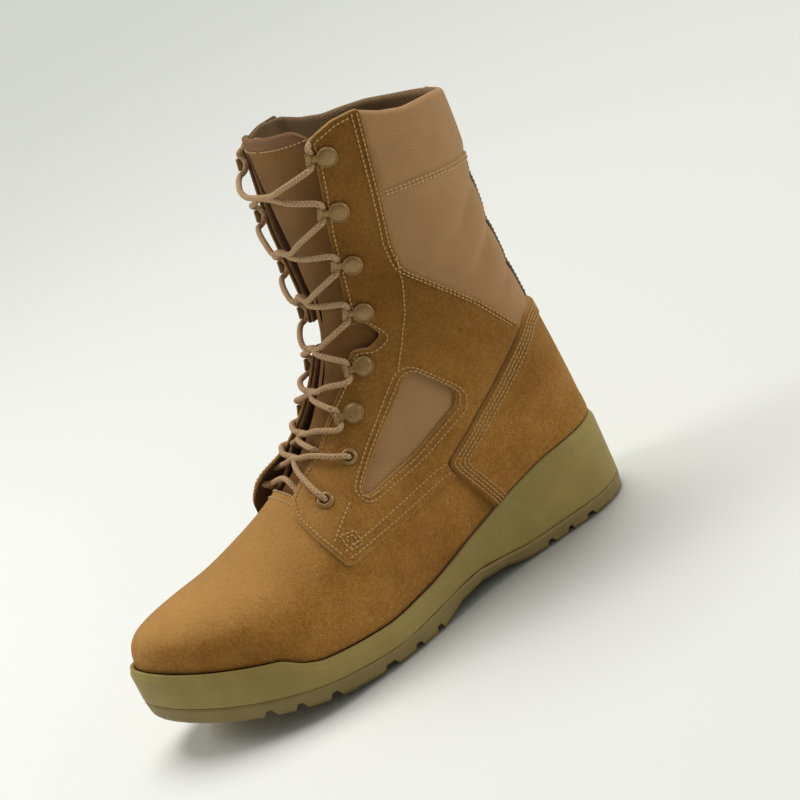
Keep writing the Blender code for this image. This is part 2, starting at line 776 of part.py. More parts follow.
def build_sole():
    outsole = add_object("outsole", sole_solid("outsole", (
        (2.2, tread_z),
        (0.8, shift(tread_z, 2.0)),
        (0.0, shift(parting_z, -1.6)),
        (0.4, parting_z))), TREAD_RUBBER, 0.75)
    cut(outsole, add_cutter("cut_tread", tread_cutter()))
    add_object("midsole", sole_solid("midsole", (
        (0.6, shift(parting_z, GAP)),
        (0.0, shift(parting_z, GAP + 1.4)),
        (0.2, shift(lip_z, -5.0)),
        (0.9, shift(lip_z, -1.6)),
        (2.2, lip_z),
        (CUP_INSET, shift(lip_z, -0.8)),
        (CUP_INSET, cup_z))), RUBBER, 0.6)
    add_object("insole", sole_solid("insole", (
        (INSOLE_INSET, shift(cup_z, GAP)),
        (INSOLE_INSET, shift(cup_z, GAP + INSOLE_THICK - 0.8)),
        (INSOLE_INSET + 0.8, shift(cup_z, GAP + INSOLE_THICK)))), LINING, 0.9)


# ---------------------------------------------------------------- uppers
def quarter_outline():
    counter = [(y - COUNTER_CLEAR, z + COUNTER_CLEAR, turn) for y, z, turn in COUNTER_EDGE[:-1]]
    return rounded_outline(QUARTER_EDGE + QUARTER_FRONT + tuple(counter) + FABRIC_EDGE)


def counter_outline():
    foot = np.linspace(COUNTER_BACK, COUNTER_FOOT, 14)
    along = [(float(y), float(lip_z(LENGTH / 2 - min(y, LENGTH / 2))) + LIP_CLEAR, 0) for y in foot]
    return rounded_outline(COUNTER_EDGE + ((COUNTER_BACK, COUNTER_TOP, 0),) + tuple(along))


def throat_outline():
    """Everything above the collar and in front of the eyestays."""
    edge = [(y + THROAT_BACK, z, turn) for y, z, turn in QUARTER_EDGE[1:-2]]
    front = rounded_outline([(*RIM[0], 0)] + edge + [(*VAMP_THROAT[0], 0), (*VAMP_THROAT[1], 0)])
    ahead = [Vector(row) for row in VAMP_THROAT[2:]]
    return [Vector(row) for row in RIM[:0:-1]] + front + ahead


def trim(node, name, outline, x_from, x_to, operation='INTERSECT'):
    cut(node, add_cutter(name, prism(name, outline, x_from, x_to)), operation)


def build_upper():
    upper = add_object("upper", shell("upper", wall_outer, wall_inner, margin=True), FABRIC, 0.85)
    trim(upper, "cut_throat", throat_outline(), -WIDE, WIDE, 'DIFFERENCE')
    window = add_cutter("cut_window", prism("cut_window", rounded_outline(WINDOW), -WIDE, WIDE))
    for name, side in (("quarter_lateral", 1), ("quarter_medial", -1)):
        quarter = add_object(name, shell(name, quarter_face, quarter_back), SUEDE, 0.95)
        trim(quarter, "cut_" + name, quarter_outline(), *sorted((side * MIDLINE, side * WIDE)))
        cut(quarter, window)
        for k, place in enumerate(EYELETS):
            hole = add_cutter("cut_eyelet_%d_%s" % (k + 1, name), eyelet_hole_mesh())
            hole.matrix_world = leather_frame(*place, side, GAP + LEATHER)
            cut(quarter, hole)
            cut(upper, hole)
    counter = add_object("heel_counter", shell("heel_counter", level(GAP + COUNTER_LEATHER), level(GAP)),
                         SUEDE, 0.95)
    trim(counter, "cut_counter", counter_outline(), -WIDE, WIDE)
    strip = add_object("backstay", shell("backstay", level(GAP + STRIP_THICK), level(GAP)), WEBBING, 0.9)
    trim(strip, "cut_backstay", [Vector(row) for row in STRIP_OUTLINE], -STRIP_HALF, STRIP_HALF)
    tongue_face = -WALL - TONGUE_CLEAR
    tongue = add_object("tongue", shell("tongue", level(tongue_face), level(tongue_face - TONGUE_THICK)),
                        FABRIC, 0.85)
    trim(tongue, "cut_tongue", rounded_outline(TONGUE), -WIDE, WIDE)


# ---------------------------------------------------------------- hooks, eyelets and lace
def turned(name, profile, sides, ring):
    """A solid turned from (radius, height) rows: a ring round a hole, or a knob closed on its axis."""
    points = []
    faces = []
    for radius, height in profile:
        for k in range(sides):
            angle = 2 * math.pi * k / sides
            points.append((radius * math.cos(angle), radius * math.sin(angle), height))
    rows = len(profile)
    for row in range(rows if ring else rows - 1):
        above = (row + 1) % rows
        for k in range(sides):
            after = (k + 1) % sides
            faces.append((row * sides + k, row * sides + after, above * sides + after, above * sides + k))
    if not ring:
        faces.append(tuple(range(sides))[::-1])
        faces.append(tuple(range((rows - 1) * sides, rows * sides)))
    return outward(mesh_from_faces(name, points, faces))


def eyelet_hole_mesh():
    if "eyelet_hole" not in bpy.data.meshes:
        turned("eyelet_hole", ((EYELET_HOLE, -HOLE_DEEP), (EYELET_HOLE, 3.0)), 10, ring=False)
    return bpy.data.meshes["eyelet_hole"]


def hook_mesh():
    """A domed stud with a T-ended tab, as one solid; X points along the tab."""
    stud = add_cutter("hook_stud", turned("hook_stud", STUD, 10, ring=False))
    tab = bpy.data.meshes.new("hook_tab")
    shape = bmesh.new()
    outline = list(TAB) + [(x, -y) for x, y in TAB[::-1]]
    for height in (TAB_LOW, TAB_HIGH):
        shape.faces.new([shape.verts.new((x * MM, y * MM, height * MM)) for x, y in outline])
    shape.verts.ensure_lookup_table()
    count = len(outline)
    for k in range(count):
        after = (k + 1) % count
        shape.faces.new([shape.verts[i] for i in (k, after, after + count, k + count)])
    shape.to_mesh(tab)
    shape.free()
    cut(stud, add_cutter("hook_tab", outward(tab)), 'UNION')
    bpy.context.view_layer.update()
    mesh = bpy.data.meshes.new_from_object(stud.evaluated_get(bpy.context.evaluated_depsgraph_get()))
    mesh.name = "hook"
    for spare in ("hook_stud", "hook_tab"):
        bpy.data.objects.remove(bpy.data.objects[spare])
    return mesh


def build_hardware():
    mesh = hook_mesh()
    ring = turned("eyelet", EYELET, 10, ring=True)
    for side, word in ((1, "lateral"), (-1, "medial")):
        for k, place in enumerate(HOOKS):
            hook = add_object("hook_%s_%d" % (word, k + 1), mesh, METAL, 0.45, 0.3)
            hook.matrix_world = leather_frame(*place, side, HOOK_SEAT)
        for k, place in enumerate(EYELETS):
            eyelet = add_object("eyelet_%s_%d" % (word, k + 1), ring, METAL, 0.45, 0.3)
            eyelet.matrix_world = leather_frame(*place, side, LEATHER + GAP)


def tube(name, route, radius, sides=5, steps=8):
    """A round cord through the route's points, in millimetres, with flat ends."""
    knots = np.concatenate(([0], np.cumsum(np.linalg.norm(np.diff(route, axis=0), axis=1))))
    line = smooth_curve(knots, route)(np.linspace(0, knots[-1], steps))
    points = []
    across = None
    for k, point in enumerate(line):
        ahead = Vector(line[min(k + 1, steps - 1)] - line[max(k - 1, 0)]).normalized()
        across = Vector((0, 0, 1)) if across is None else across
        across = (across - ahead * across.dot(ahead)).normalized()
        other = ahead.cross(across)
        for i in range(sides):
            angle = 2 * math.pi * i / sides
            points.append(Vector(point) + radius * (math.cos(angle) * across + math.sin(angle) * other))
    faces = [tuple(range(sides)), tuple(range((steps - 1) * sides, steps * sides))]
    for k in range(steps - 1):
        for i in range(sides):
            after = (i + 1) % sides
            faces.append((k * sides + i, k * sides + after, (k + 1) * sides + after, (k + 1) * sides + i))
    return outward(mesh_from_faces(name, points, faces))


def lace_end(level_number, side, rising):
    """Where a strand stops, just clear of a hook's neck or an eyelet."""
    if level_number < len(HOOKS):
        matrix = leather_frame(*HOOKS[level_number], side, HOOK_SEAT)
        spot = Vector((HOOK_NECK, -side * rising * HOOK_CLEAR, HOOK_LIFT))
    else:
        matrix = leather_frame(*EYELETS[level_number - len(HOOKS)], side, LEATHER + GAP)
        spot = Vector((EYELET_CLEAR, -side * rising * EYELET_SIDE, EYELET_LIFT))
    return np.array(matrix @ (spot * MM)) / MM


def half_strand(start, side, middle):
    """Route points from a strand's end to its middle on x = 0, kept over the leather."""
    t, r = find_section(start[1], start[2])
    height = float((start - boot_point(t, r, side)) @ boot_normal(t, r, side))
    t_middle, r_middle = find_section(*middle)
    crest = boot_point(t_middle, 1.0, side)
    lift = math.dist(crest[1:], middle) * (1 if r_middle > 1 else -1)
    points = [start]
    for q in STRAND_STOPS:
        near = 1 - (1 - q) ** 2
        t_here = t + (t_middle - t) * near
        r_here = r + (1 - r) * near
        place = boot_point(t_here, r_here, side)
        h_here = height + (lift - height) * q ** STRAND_SETTLE + LACE_ARCH[side] * (1 - q)
        if side < 0:
            h_here += (flare(place[1], r_here) - flare(start[1], r)) * (1 - near ** 2)
        points.append(place + boot_normal(t_here, r_here, side) * h_here)
    return points


def strand(name, ends, middle, over):
    """A lace strand from (level, side, rising) over the middle to another such end."""
    y, z = middle
    halves = []
    for level_number, side, rising in ends:
        halves.append(half_strand(lace_end(level_number, side, rising), side, middle))
    route = halves[0] + [np.array((0.0, y - over, z + over * 0.5))] + halves[1][::-1]
    return tube(name, np.array(route), LACE / 2)


def build_lace():
    """Each pair of strands that crosses is one solid, and a bar joins the lowest eyelets."""
    for k, middle in enumerate(CROSSINGS):
        name = "lace_cross_%d" % (k + 1)
        over = strand(name, ((k, 1, -1), (k + 1, -1, 1)), middle, LACE_OVER)
        under = strand(name + "_under", ((k, -1, -1), (k + 1, 1, 1)), middle, -LACE_OVER)
        cross = add_object(name, over, LACE_CLOTH, 0.9)
        cut(cross, add_cutter(name + "_under", under), 'UNION')
    lowest = len(CROSSINGS)
    bar = strand("lace_bar", ((lowest, 1, -1), (lowest, -1, -1)), LACE_BAR, 0.0)
    add_object("lace_bar", bar, LACE_CLOTH, 0.9)


def main():
    for spare in list(bpy.data.objects):
        bpy.data.objects.remove(spare)
    build_sole()
    build_upper()
    build_hardware()
    build_lace()
    for node in bpy.data.objects:
        node.data.shade_smooth()
        node.data.set_sharp_from_angle(angle=math.radians(40))


main()
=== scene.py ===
"""Looks for the lace-up desert boot: suede, woven nylon, rubber, painted metal and one braided lace.

Every leather and cloth piece is cut from boot_point(), the same fan of plane sections as the CAD's,
laid out finely. Lengths in tables are millimetres: toe towards -Y, outer side +X, ground z = 0,
s is the distance forward from the back of the heel. A side-view place is written (y, z).
"""
import itertools
import math

import bmesh
import bpy
import numpy as np
from mathutils import Matrix, Vector
from mathutils.geometry import delaunay_2d_cdt
from mathutils.kdtree import KDTree


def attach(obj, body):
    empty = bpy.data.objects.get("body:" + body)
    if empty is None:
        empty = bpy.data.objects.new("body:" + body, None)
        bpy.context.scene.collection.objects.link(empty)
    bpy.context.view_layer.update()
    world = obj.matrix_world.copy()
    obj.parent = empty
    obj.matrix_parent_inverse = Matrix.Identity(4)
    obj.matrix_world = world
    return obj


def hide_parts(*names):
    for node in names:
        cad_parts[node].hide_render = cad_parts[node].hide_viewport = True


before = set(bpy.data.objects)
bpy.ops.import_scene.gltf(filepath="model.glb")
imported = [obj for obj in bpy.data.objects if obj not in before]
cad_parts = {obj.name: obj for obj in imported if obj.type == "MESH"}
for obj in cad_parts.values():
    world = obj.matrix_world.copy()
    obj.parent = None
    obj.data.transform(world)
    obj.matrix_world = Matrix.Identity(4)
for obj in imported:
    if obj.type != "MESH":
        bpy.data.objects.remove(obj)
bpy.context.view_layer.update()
MM = 0.001
TURN = 2 * math.pi
SIDES = (("lateral", 1), ("medial", -1))

# ---- sizes shared with the CAD
LENGTH = 305.0
HEEL_END = 45.0
TOE_START = 218.0
TOE_TIP_X = -13.0
HEEL_ROUND = 2.3
TOE_ROUND = {1: 1.75, -1: 2.3}
SPRING_START = 176.0
SPRING_RISE = 25.4
SPRING_POWER = 1.8
CUP_INSET = 3.9
UPPER_INSET = 4.8
INSOLE_INSET = 8.8
GAP = 0.3
WALL = 2.8
LEATHER = 1.7

# s and the sole's half widths on the outer and inner side
PLAN = ((45, 40.0, 39.0), (75, 40.0, 38.0), (115, 41.5, 35.5), (150, 48.5, 39.0), (185, 54.8, 47.0),
        (218, 55.8, 52.0))
# s, the height of the midsole's lip and the depth of its cup, above the outsole's own rise at the toe
LIP = ((0, 49.5, 12.0), (30, 49.0, 12.0), (50, 47.6, 11.5), (75, 42.8, 11.0), (105, 34.6, 9.5),
       (130, 28.2, 7.5), (155, 24.3, 6.3), (185, 22.5, 5.8), (224, 22.9, 6.2), (234, 24.9, 8.2),
       (247, 30.2, 13.4), (305, 31.0, 13.6))
# s and the height of the outsole's top
PARTING = ((0, 9.3), (80, 9.3), (98, 11.5), (118, 14.0), (134, 13.4), (145, 12.2), (190, 9.5), (305, 9.5))

# side-view outlines: y, z and the radius that rounds the corner there
QUARTER_EDGE = ((79.5, 273.0, 3.5), (64.0, 273.0, 12), (50.3, 268.5, 6), (50.3, 257.0, 20),
                (43.4, 219.0, 40), (40.4, 192.0, 20), (38.2, 174.0, 8), (34.5, 165.8, 1.5),
                (42.0, 165.0, 5), (47.5, 154.5, 5), (38.5, 151.2, 5), (30.8, 153.4, 4),
                (20.0, 140.5, 30), (-8.5, 113.2, 30), (-35.0, 96.2, 8), (-41.4, 89.5, 8))
QUARTER_FRONT = ((-41.0, 79.0, 20), (-35.8, 60.8, 4.5), (20.0, 64.2, 60), (46.2, 66.8, 0))
COUNTER_EDGE = ((47.0, 68.0, 1.5), (44.6, 75.4, 4), (65.0, 85.2, 30), (90.5, 99.4, 40), (126.0, 124.0, 14))
FABRIC_EDGE = ((119.5, 120.6, 0), (103.0, 145.4, 40), (70.0, 183.0, 14), (69.0, 199.0, 14))
WINDOW = ((-11.0, 84.3, 3), (46.5, 127.5, 8), (53.5, 127.5, 4), (68.0, 108.5, 5), (63.5, 101.5, 5),
          (30.0, 90.7, 60))
COUNTER_TOP = 124.5
COUNTER_FOOT = 60.3
COUNTER_BACK = 162.0
COUNTER_CLEAR = 0.4
RIM = ((79.5, 270.8), (90.0, 265.2), (103.0, 260.8), (115.0, 259.6), (128.0, 258.0), (140.0, 255.0),
       (165.0, 250.5))
RIM_ROUND = 25.0
VAMP_THROAT = ((-32.6, 97.2), (-36.4, 104.0))
THROAT_BACK = 0.4
LIP_CLEAR = 0.45
TONGUE = ((66.0, 258.0, 0), (61.0, 200.0, 30), (58.0, 178.0, 20), (39.0, 140.0, 20), (-14.0, 90.0, 20),
          (-47.0, 80.0, 0), (-60.0, 80.0, 0), (-60.0, 276.5, 0), (44.5, 275.5, 8), (56.0, 261.0, 6))
TONGUE_CLEAR = 0.8
TONGUE_THICK = 3.0
STRIP_HALF = 10.0
COLLAR_PROUD = 1.5
COLLAR_PAD = 2.2
PAD_FRONT = 0.66
PAD_FADE = 0.05

# where the middles of the hooks and eyelets sit in the side view
HOOKS = ((55.8, 256.7), (51.0, 227.5), (48.1, 197.7), (44.6, 170.4), (32.0, 143.2), (15.2, 123.6))
EYELETS = ((-0.2, 105.1), (-23.5, 91.9))
HOOK_SEAT = LEATHER + GAP + 0.5
HOOK_PITCH = 0.27        # the tabs point forward, rising by this slope
NORMAL_STEP = 0.004
SLOPE_STEP = 3.0         # the leather's slope under a hook is read this far ahead of it

# the lace's strands cross between the levels, in front of the tongue, at y, z
CROSSINGS = ((27.4, 247.0), (25.4, 215.5), (24.8, 188.5), (18.4, 160.3), (7.6, 138.9), (-8.0, 121.5),
             (-19.0, 112.4))
LACE = 3.4
LACE_OVER = 0.8              # the strands bulge apart where they cross
STRAND_STOPS = (0.3, 0.65)   # shares of a half strand where its height is set
STRAND_SETTLE = 1.4          # it nears the crossing's height by this power

# the inner eyestay, pulled by the lace, stands off the tongue: y and the height at the crest
FLARE = ((-66.0, 0.0), (-45.0, 6.0), (-31.0, 9.5), (-12.0, 5.0), (12.0, 2.6), (32.0, 4.6), (46.0, 7.5),
         (60.0, 7.5))
FLARE_SEWN = (-25.0, -5.0)   # the wall under it follows it between these
FLARE_FROM = 0.70

# the upper's sections, from the toe's tip up to the collar
#   base_y, base_z: where the section leaves the sole's edge (base_z 0) or the back seam
#   wide: where along the section it is widest; outer, inner: how far it swells past the sole's
#   plan there; top: superellipse exponent above the widest point; low: the same below it, on the shaft
#             crest_y crest_z crest_x base_y  base_z wide  outer inner top   low
SECTIONS = ((-147.0, 57.8,  -13.0, -147.7, 0.0,   0.12, 0.3,  0.3,  2.0,  2.0),
            (-145.2, 63.8,  -12.6, -143.0, 0.0,   0.12, 0.3,  0.3,  2.1,  2.0),
            (-139.6, 70.0,  -12.0, -132.0, 0.0,   0.13, 0.3,  0.3,  2.25, 2.0),
            (-126.5, 74.4,  -11.0, -117.0, 0.0,   0.14, 0.4,  0.3,  2.3,  2.0),
            (-107.0, 77.3,  -9.5,  -98.0,  0.0,   0.18, 0.6,  0.4,  2.3,  2.0),
            (-88.0,  80.2,  -8.5,  -79.0,  0.0,   0.20, 1.0,  0.5,  2.2,  2.0),
            (-64.5,  86.6,  -7.5,  -53.0,  0.0,   0.24, 1.5,  0.8,  2.1,  2.0),
            (-40.5,  95.9,  -6.0,  -24.0,  0.0,   0.27, 2.0,  2.0,  2.05, 2.0),
            (-20.5,  108.3, -4.5,  8.0,    0.0,   0.29, 2.0,  4.0,  2.05, 2.0),
            (-0.5,   126.0, -3.0,  44.0,   0.0,   0.30, 1.8,  5.0,  2.1,  2.1),
            (15.5,   147.5, -1.5,  87.0,   0.0,   0.31, 1.2,  4.0,  2.15, 2.2),
            (25.0,   166.5, -0.5,  127.0,  0.0,   0.33, 1.0,  3.0,  2.2,  2.3),
            (28.4,   181.0, 0.0,   147.7,  49.5,  0.35, 1.4,  3.0,  2.25, 2.3),
            (29.8,   193.5, 0.0,   145.6,  92.0,  0.38, 3.0,  4.4,  2.3,  2.2),
            (31.2,   206.5, 0.0,   142.4,  138.0, 0.42, 5.6,  6.8,  2.35, 2.1),
            (32.4,   219.5, 0.0,   141.2,  180.0, 0.45, 8.4,  9.6,  2.45, 2.1),
            (33.6,   233.5, 0.0,   144.6,  217.0, 0.46, 11.2, 12.4, 2.55, 2.1),
            (37.5,   292.0, 0.0,   145.8,  265.0, 0.47, 15.4, 16.6, 2.7,  2.1))
HEEL_ROW = 12            # the first section whose base is on the back seam
SEAM_ROW = 16            # the padded collar starts at this section
HEEL_MIX = 0.12          # over this share of the fan the back changes from the sole's plan to the shaft's


# ---- curves and vectors
def unit(v):
    """Vectors along the last axis at length 1."""
    return v / np.linalg.norm(v, axis=-1, keepdims=True)


def ease(q):
    """0 up to 1 with level ends."""
    q = np.clip(q, 0, 1)
    return q * q * (3 - 2 * q)


def dome(distance, radius):
    """0 at an edge rising to 1 at the radius, as a quarter circle."""
    q = 1 - np.clip(distance / radius, 0, 1)
    return np.sqrt(1 - q * q)


def run_along(line):
    """The distance along a line at each of its points."""
    return np.concatenate(([0], np.cumsum(np.linalg.norm(np.diff(line, axis=0), axis=1))))


def read_at(places, run, values):
    """Rows of values, known at each distance of a run, at other places."""
    return np.stack([np.interp(places, run, values[:, k]) for k in range(3)], axis=-1)


def segment(knots, x):
    """x kept within the knots, and the number of the stretch that it lies in."""
    x = np.clip(x, knots[0], knots[-1])
    return x, np.clip(np.searchsorted(knots, x) - 1, 0, len(knots) - 2)


def steady_curve(table, column=1):
    """A smooth curve through a table's rows that never overshoots (monotone cubic)."""
    s, v = np.array(table, float)[:, (0, column)].T
    step = np.diff(s)
    slope = np.diff(v) / step
    tangent = np.zeros(len(s))
    for i in range(1, len(s) - 1):
        if slope[i - 1] * slope[i] > 0:
            tangent[i] = 2 * slope[i - 1] * slope[i] / (slope[i - 1] + slope[i])

    def at(x):
        x, i = segment(s, x)
        h = step[i]
        q = (x - s[i]) / h
        return (v[i] * (1 + 2 * q) * (1 - q) ** 2 + tangent[i] * h * q * (1 - q) ** 2
                + v[i + 1] * q * q * (3 - 2 * q) - tangent[i + 1] * h * q * q * (1 - q))
    return at


def smooth_curve(knots, values):
    """A natural cubic spline through the values at the knots."""
    h = np.diff(knots)
    system = np.eye(len(knots))
    rhs = np.zeros_like(values)
    slope = np.diff(values, axis=0) / h.reshape(-1, *[1] * (values.ndim - 1))
    for i in range(1, len(knots) - 1):
        system[i, i - 1:i + 2] = h[i - 1], 2 * (h[i - 1] + h[i]), h[i]
        rhs[i] = 6 * (slope[i] - slope[i - 1])
    bend = np.linalg.solve(system, rhs)

    def at(x):
        x, i = segment(knots, x)
        a = (knots[i + 1] - x) / h[i]
        a, width = (q[..., None] if values.ndim > 1 else q for q in (a, h[i]))
        b = 1 - a
        bow = (a ** 3 - a) * bend[i] + (b ** 3 - b) * bend[i + 1]
        return a * values[i] + b * values[i + 1] + bow * width ** 2 / 6
    return at


# ---- the sole's plan and heights
def raised(curve):
    """A height above the tread as a height above the ground."""
    def at(s):
        ahead = np.clip((np.asarray(s, float) - SPRING_START) / (LENGTH - SPRING_START), 0, None)
        return curve(s) + SPRING_RISE * ahead ** SPRING_POWER
    return at


plan_width = {1: steady_curve(PLAN), -1: steady_curve(PLAN, 2)}
lip_z = raised(steady_curve(LIP))
cup_depth = steady_curve(LIP, 2)
parting_z = raised(steady_curve(PARTING))
flare_height = steady_curve(FLARE)


def cup_z(s):
    return lip_z(s) - cup_depth(s)


def sole_edge(side, s):
    """x of the sole's widest line, on the outer (side 1) or inner (side -1) edge."""
    middle = side * plan_width[side](s)
    back = np.clip(1 - s / HEEL_END, 0, 1)
    heel = side * plan_width[side](HEEL_END) * (1 - back ** HEEL_ROUND) ** (1 / HEEL_ROUND)
    front = np.clip((s - TOE_START) / (LENGTH - TOE_START), 0, 1)
    n = TOE_ROUND[side]
    ball = side * plan_width[side](TOE_START)
    toe = TOE_TIP_X + (ball - TOE_TIP_X) * (1 - front ** n) ** (1 / n)
    return np.where(s < HEEL_END, heel, np.where(s > TOE_START, toe, middle))


def edge_line(side, inset, count):
    """Points (x, y) along one side of the sole from toe to heel, moved in by the inset."""
    s = LENGTH * (1 + np.cos(math.pi * np.linspace(0, 1, count))) / 2
    x = sole_edge(side, s)
    y = LENGTH / 2 - s
    dx = np.gradient(x)
    dy = np.gradient(y)
    dx[0], dy[0] = side, 0
    dx[-1], dy[-1] = -side, 0
    size = np.hypot(dx, dy)
    return x - side * inset * dy / size, y + side * inset * dx / size


UPPER_LINES = {side: edge_line(side, UPPER_INSET, 241) for side in (1, -1)}


def upper_edge(side, y):
    """x of the upper's bottom line at y."""
    return np.interp(y, *UPPER_LINES[side][::-1])


# ---- the upper's form
def section_stations():
    """Where each row of SECTIONS lies along the fan, from 0 to 1."""
    rows = np.array(SECTIONS)
    crest = np.hypot(*np.diff(rows[:, 0:2], axis=0).T)
    base_z = np.where(np.arange(len(rows)) < HEEL_ROW, SECTIONS[HEEL_ROW][4], rows[:, 4])
    base = np.hypot(np.diff(rows[:, 3]), np.diff(base_z))
    steps = np.sqrt((crest ** 2 + base ** 2) / 2) + 2
    return np.concatenate(([0], np.cumsum(steps))) / steps.sum()


STATION = section_stations()
HEEL_T = STATION[HEEL_ROW]
section_at = smooth_curve(STATION, np.array(SECTIONS)[:, [0, 1, 2, 5, 6, 7, 8, 9]])
sole_base_at = smooth_curve(STATION[:HEEL_ROW + 1], np.array(SECTIONS)[:HEEL_ROW + 1, 3])
back_base_at = smooth_curve(STATION[HEEL_ROW:], np.array(SECTIONS)[HEEL_ROW:, 3:5])


def base_point(t):
    """y and z where a section starts."""
    y_sole = sole_base_at(np.minimum(t, HEEL_T))
    back = back_base_at(np.maximum(t, HEEL_T))
    z_sole = lip_z(LENGTH / 2 - y_sole)
    return np.where(t < HEEL_T, y_sole, back[..., 0]), np.where(t < HEEL_T, z_sole, back[..., 1])


def boot_point(t, r, side):
    """The upper's outer surface: t along the fan, r from the base (0) to the crest (1)."""
    t, r = np.broadcast_arrays(np.asarray(t, float), np.asarray(r, float))
    crest_y, crest_z, crest_x, wide, outer, inner, top, low = np.moveaxis(section_at(t), -1, 0)
    base_y, base_z = base_point(t)
    swell = outer if side > 0 else inner
    at_wide = side * (upper_edge(side, base_y + wide * (crest_y - base_y)) - crest_x) + swell
    below = np.clip(1 - r / wide, 0, 1)
    above = np.clip((r - wide) / (1 - wide), 0, 1)
    y = base_y + r * (crest_y - base_y)
    y_plan = y + np.where(t > HEEL_T, SECTIONS[HEEL_ROW][3] - base_y, 0.0)
    like_plan = side * (upper_edge(side, y_plan) - crest_x) + swell * (1 - below ** 2)
    like_shaft = at_wide * (1 - below ** low) ** (1 / low)
    mix = ease((t - HEEL_T) / HEEL_MIX)
    fall = (1 - above ** top) ** (1 / top)
    half = np.where(r < wide, like_plan * (1 - mix) + like_shaft * mix, at_wide * fall)
    return np.stack([crest_x + side * half, y, base_z + r * (crest_z - base_z)], axis=-1)


def boot_normal(t, r, side):
    """The outward normal of boot_point."""
    step = NORMAL_STEP
    t = np.clip(t, step, 1 - step)
    r = np.clip(r, step, 1 - step)
    along = boot_point(t + step, r, side) - boot_point(t - step, r, side)
    up = boot_point(t, r + step, side) - boot_point(t, r - step, side)
    return unit(side * np.cross(along, up))


def flare(y, r):
    """How far the inner eyestay stands off the tongue."""
    return flare_height(y) * ease((r - FLARE_FROM) / (1 - FLARE_FROM))


def wall_flare(y, r, side):
    """The wall goes with the inner eyestay, except at its loose front corner."""
    start, end = FLARE_SEWN
    return flare(y, r) * ease((y - start) / (end - start)) * (side < 0)


def leather_seat(y, z, side, height):
    """A frame on the quarter's face: axes towards the throat, up, and out of the leather, and its origin."""
    t, r = locate(y, z)
    normal = boot_normal(t, r, side)
    point = boot_point(t, r, side)
    if side < 0 and flare(y, r) > 0:
        point = point + normal * flare(y, r)
        y_ahead = y - SLOPE_STEP
        ahead = locate(y_ahead, z + SLOPE_STEP * HOOK_PITCH)
        there = boot_point(*ahead, side) + boot_normal(*ahead, side) * flare(y_ahead, ahead[1])
        slope = there - point
        normal = unit(np.cross(slope, np.cross(normal, slope)))
    forward = np.array((0.0, -1.0, HOOK_PITCH))
    forward = unit(forward - normal * (forward @ normal))
    return np.stack([forward, np.cross(normal, forward), normal]), point + normal * height


def placed(rows, seat):
    """Rows of a seat's own x, y and z as points of the boot."""
    axes, origin = seat
    return np.asarray(rows, float) @ axes + origin


# ---- the form laid flat
FAN = 480.0              # millimetres along the fan for t from 0 to 1
LOW_ARC = 42.0           # and round each section, below and above its widest place
HIGH_ARC = 72.0
CREST = LOW_ARC + HIGH_ARC
SEAM_NEAR = 0.02         # of the back seam, the crest or the toe's tip
NEAR_BACK = 0.012        # in r or t: where the two sides' normals begin to differ
NEAR_CREST = 0.004
NEAR_TIP = 0.01
HALVINGS = 36            # of the fan, to find a place's t
ROUNDING = 5             # steps round an outline's corner
CORNER_SHARE = 0.45      # of each side, the most that a rounded corner takes
CORNER_LEAST = 0.05
FINE = 0.5               # steps of smooth lines
BORDER_STEP = 1.1        # and of a patch's border
ROW_CLEAR = 0.93         # share of a row's distance that its points keep from every border
TRIANGLE_HIGH = 0.866


def locate(y, z):
    """t and r of side-view places."""
    y, z = np.broadcast_arrays(np.asarray(y, float), np.asarray(z, float))
    low = np.zeros(y.shape)
    high = np.ones(y.shape)
    for _ in range(HALVINGS):
        t = (low + high) / 2
        base_y, base_z = base_point(t)
        line_y, line_z = section_at(t)[..., 0] - base_y, section_at(t)[..., 1] - base_z
        past = line_y * (z - base_z) > line_z * (y - base_y)
        high = np.where(past, t, high)
        low = np.where(past, low, t)
    return t, (line_y * (y - base_y) + line_z * (z - base_z)) / (line_y ** 2 + line_z ** 2)


def fan_place(spot):
    """t alone of a side-view place."""
    return float(locate(*spot)[0])


def flat(t, r):
    """Places on the form as points of a flat map, in millimetres."""
    wide = section_at(t)[..., 3]
    low = np.arccos(np.clip(1 - r / wide, 0, 1)) / (math.pi / 2) * LOW_ARC
    high = np.arcsin(np.clip((r - wide) / (1 - wide), 0, 1)) / (math.pi / 2) * HIGH_ARC
    return np.stack([np.asarray(t) * FAN, np.where(r < wide, low, LOW_ARC + high)], axis=-1)


def unflat(points):
    """t and r of points of the flat map."""
    t = np.clip(points[..., 0] / FAN, 0, 1)
    wide = section_at(t)[..., 3]
    low = wide * (1 - np.cos(np.clip(points[..., 1] / LOW_ARC, 0, 1) * math.pi / 2))
    high = wide + (1 - wide) * np.sin(np.clip((points[..., 1] - LOW_ARC) / HIGH_ARC, 0, 1) * math.pi / 2)
    return t, np.where(points[..., 1] < LOW_ARC, low, high)


def form_normal(t, r, side):
    """boot_normal, turning into one shared normal on the crest, the back seam and the toe's tip."""
    behind = t >= HEEL_T - 1e-6
    nearness = (np.where(behind, r / NEAR_BACK, 1.0), (1 - r) / NEAR_CREST, t / NEAR_TIP)
    own = np.sqrt(np.clip(np.minimum.reduce(nearness), 0, 1))[..., None]
    t = np.where(behind & (r < NEAR_BACK), np.maximum(t, HEEL_T + NEAR_BACK), t)
    r = np.clip(r, np.where(behind, NEAR_BACK, 0.0), 1 - NEAR_CREST)
    here = boot_normal(t, r, side)
    return unit(here * own + unit(here + boot_normal(t, r, -side)) * (1 - own))


def moved_out(base, normal, height):
    """Points moved out along their normals, by one height or one for each."""
    return base + normal * np.broadcast_to(height, len(base))[:, None]


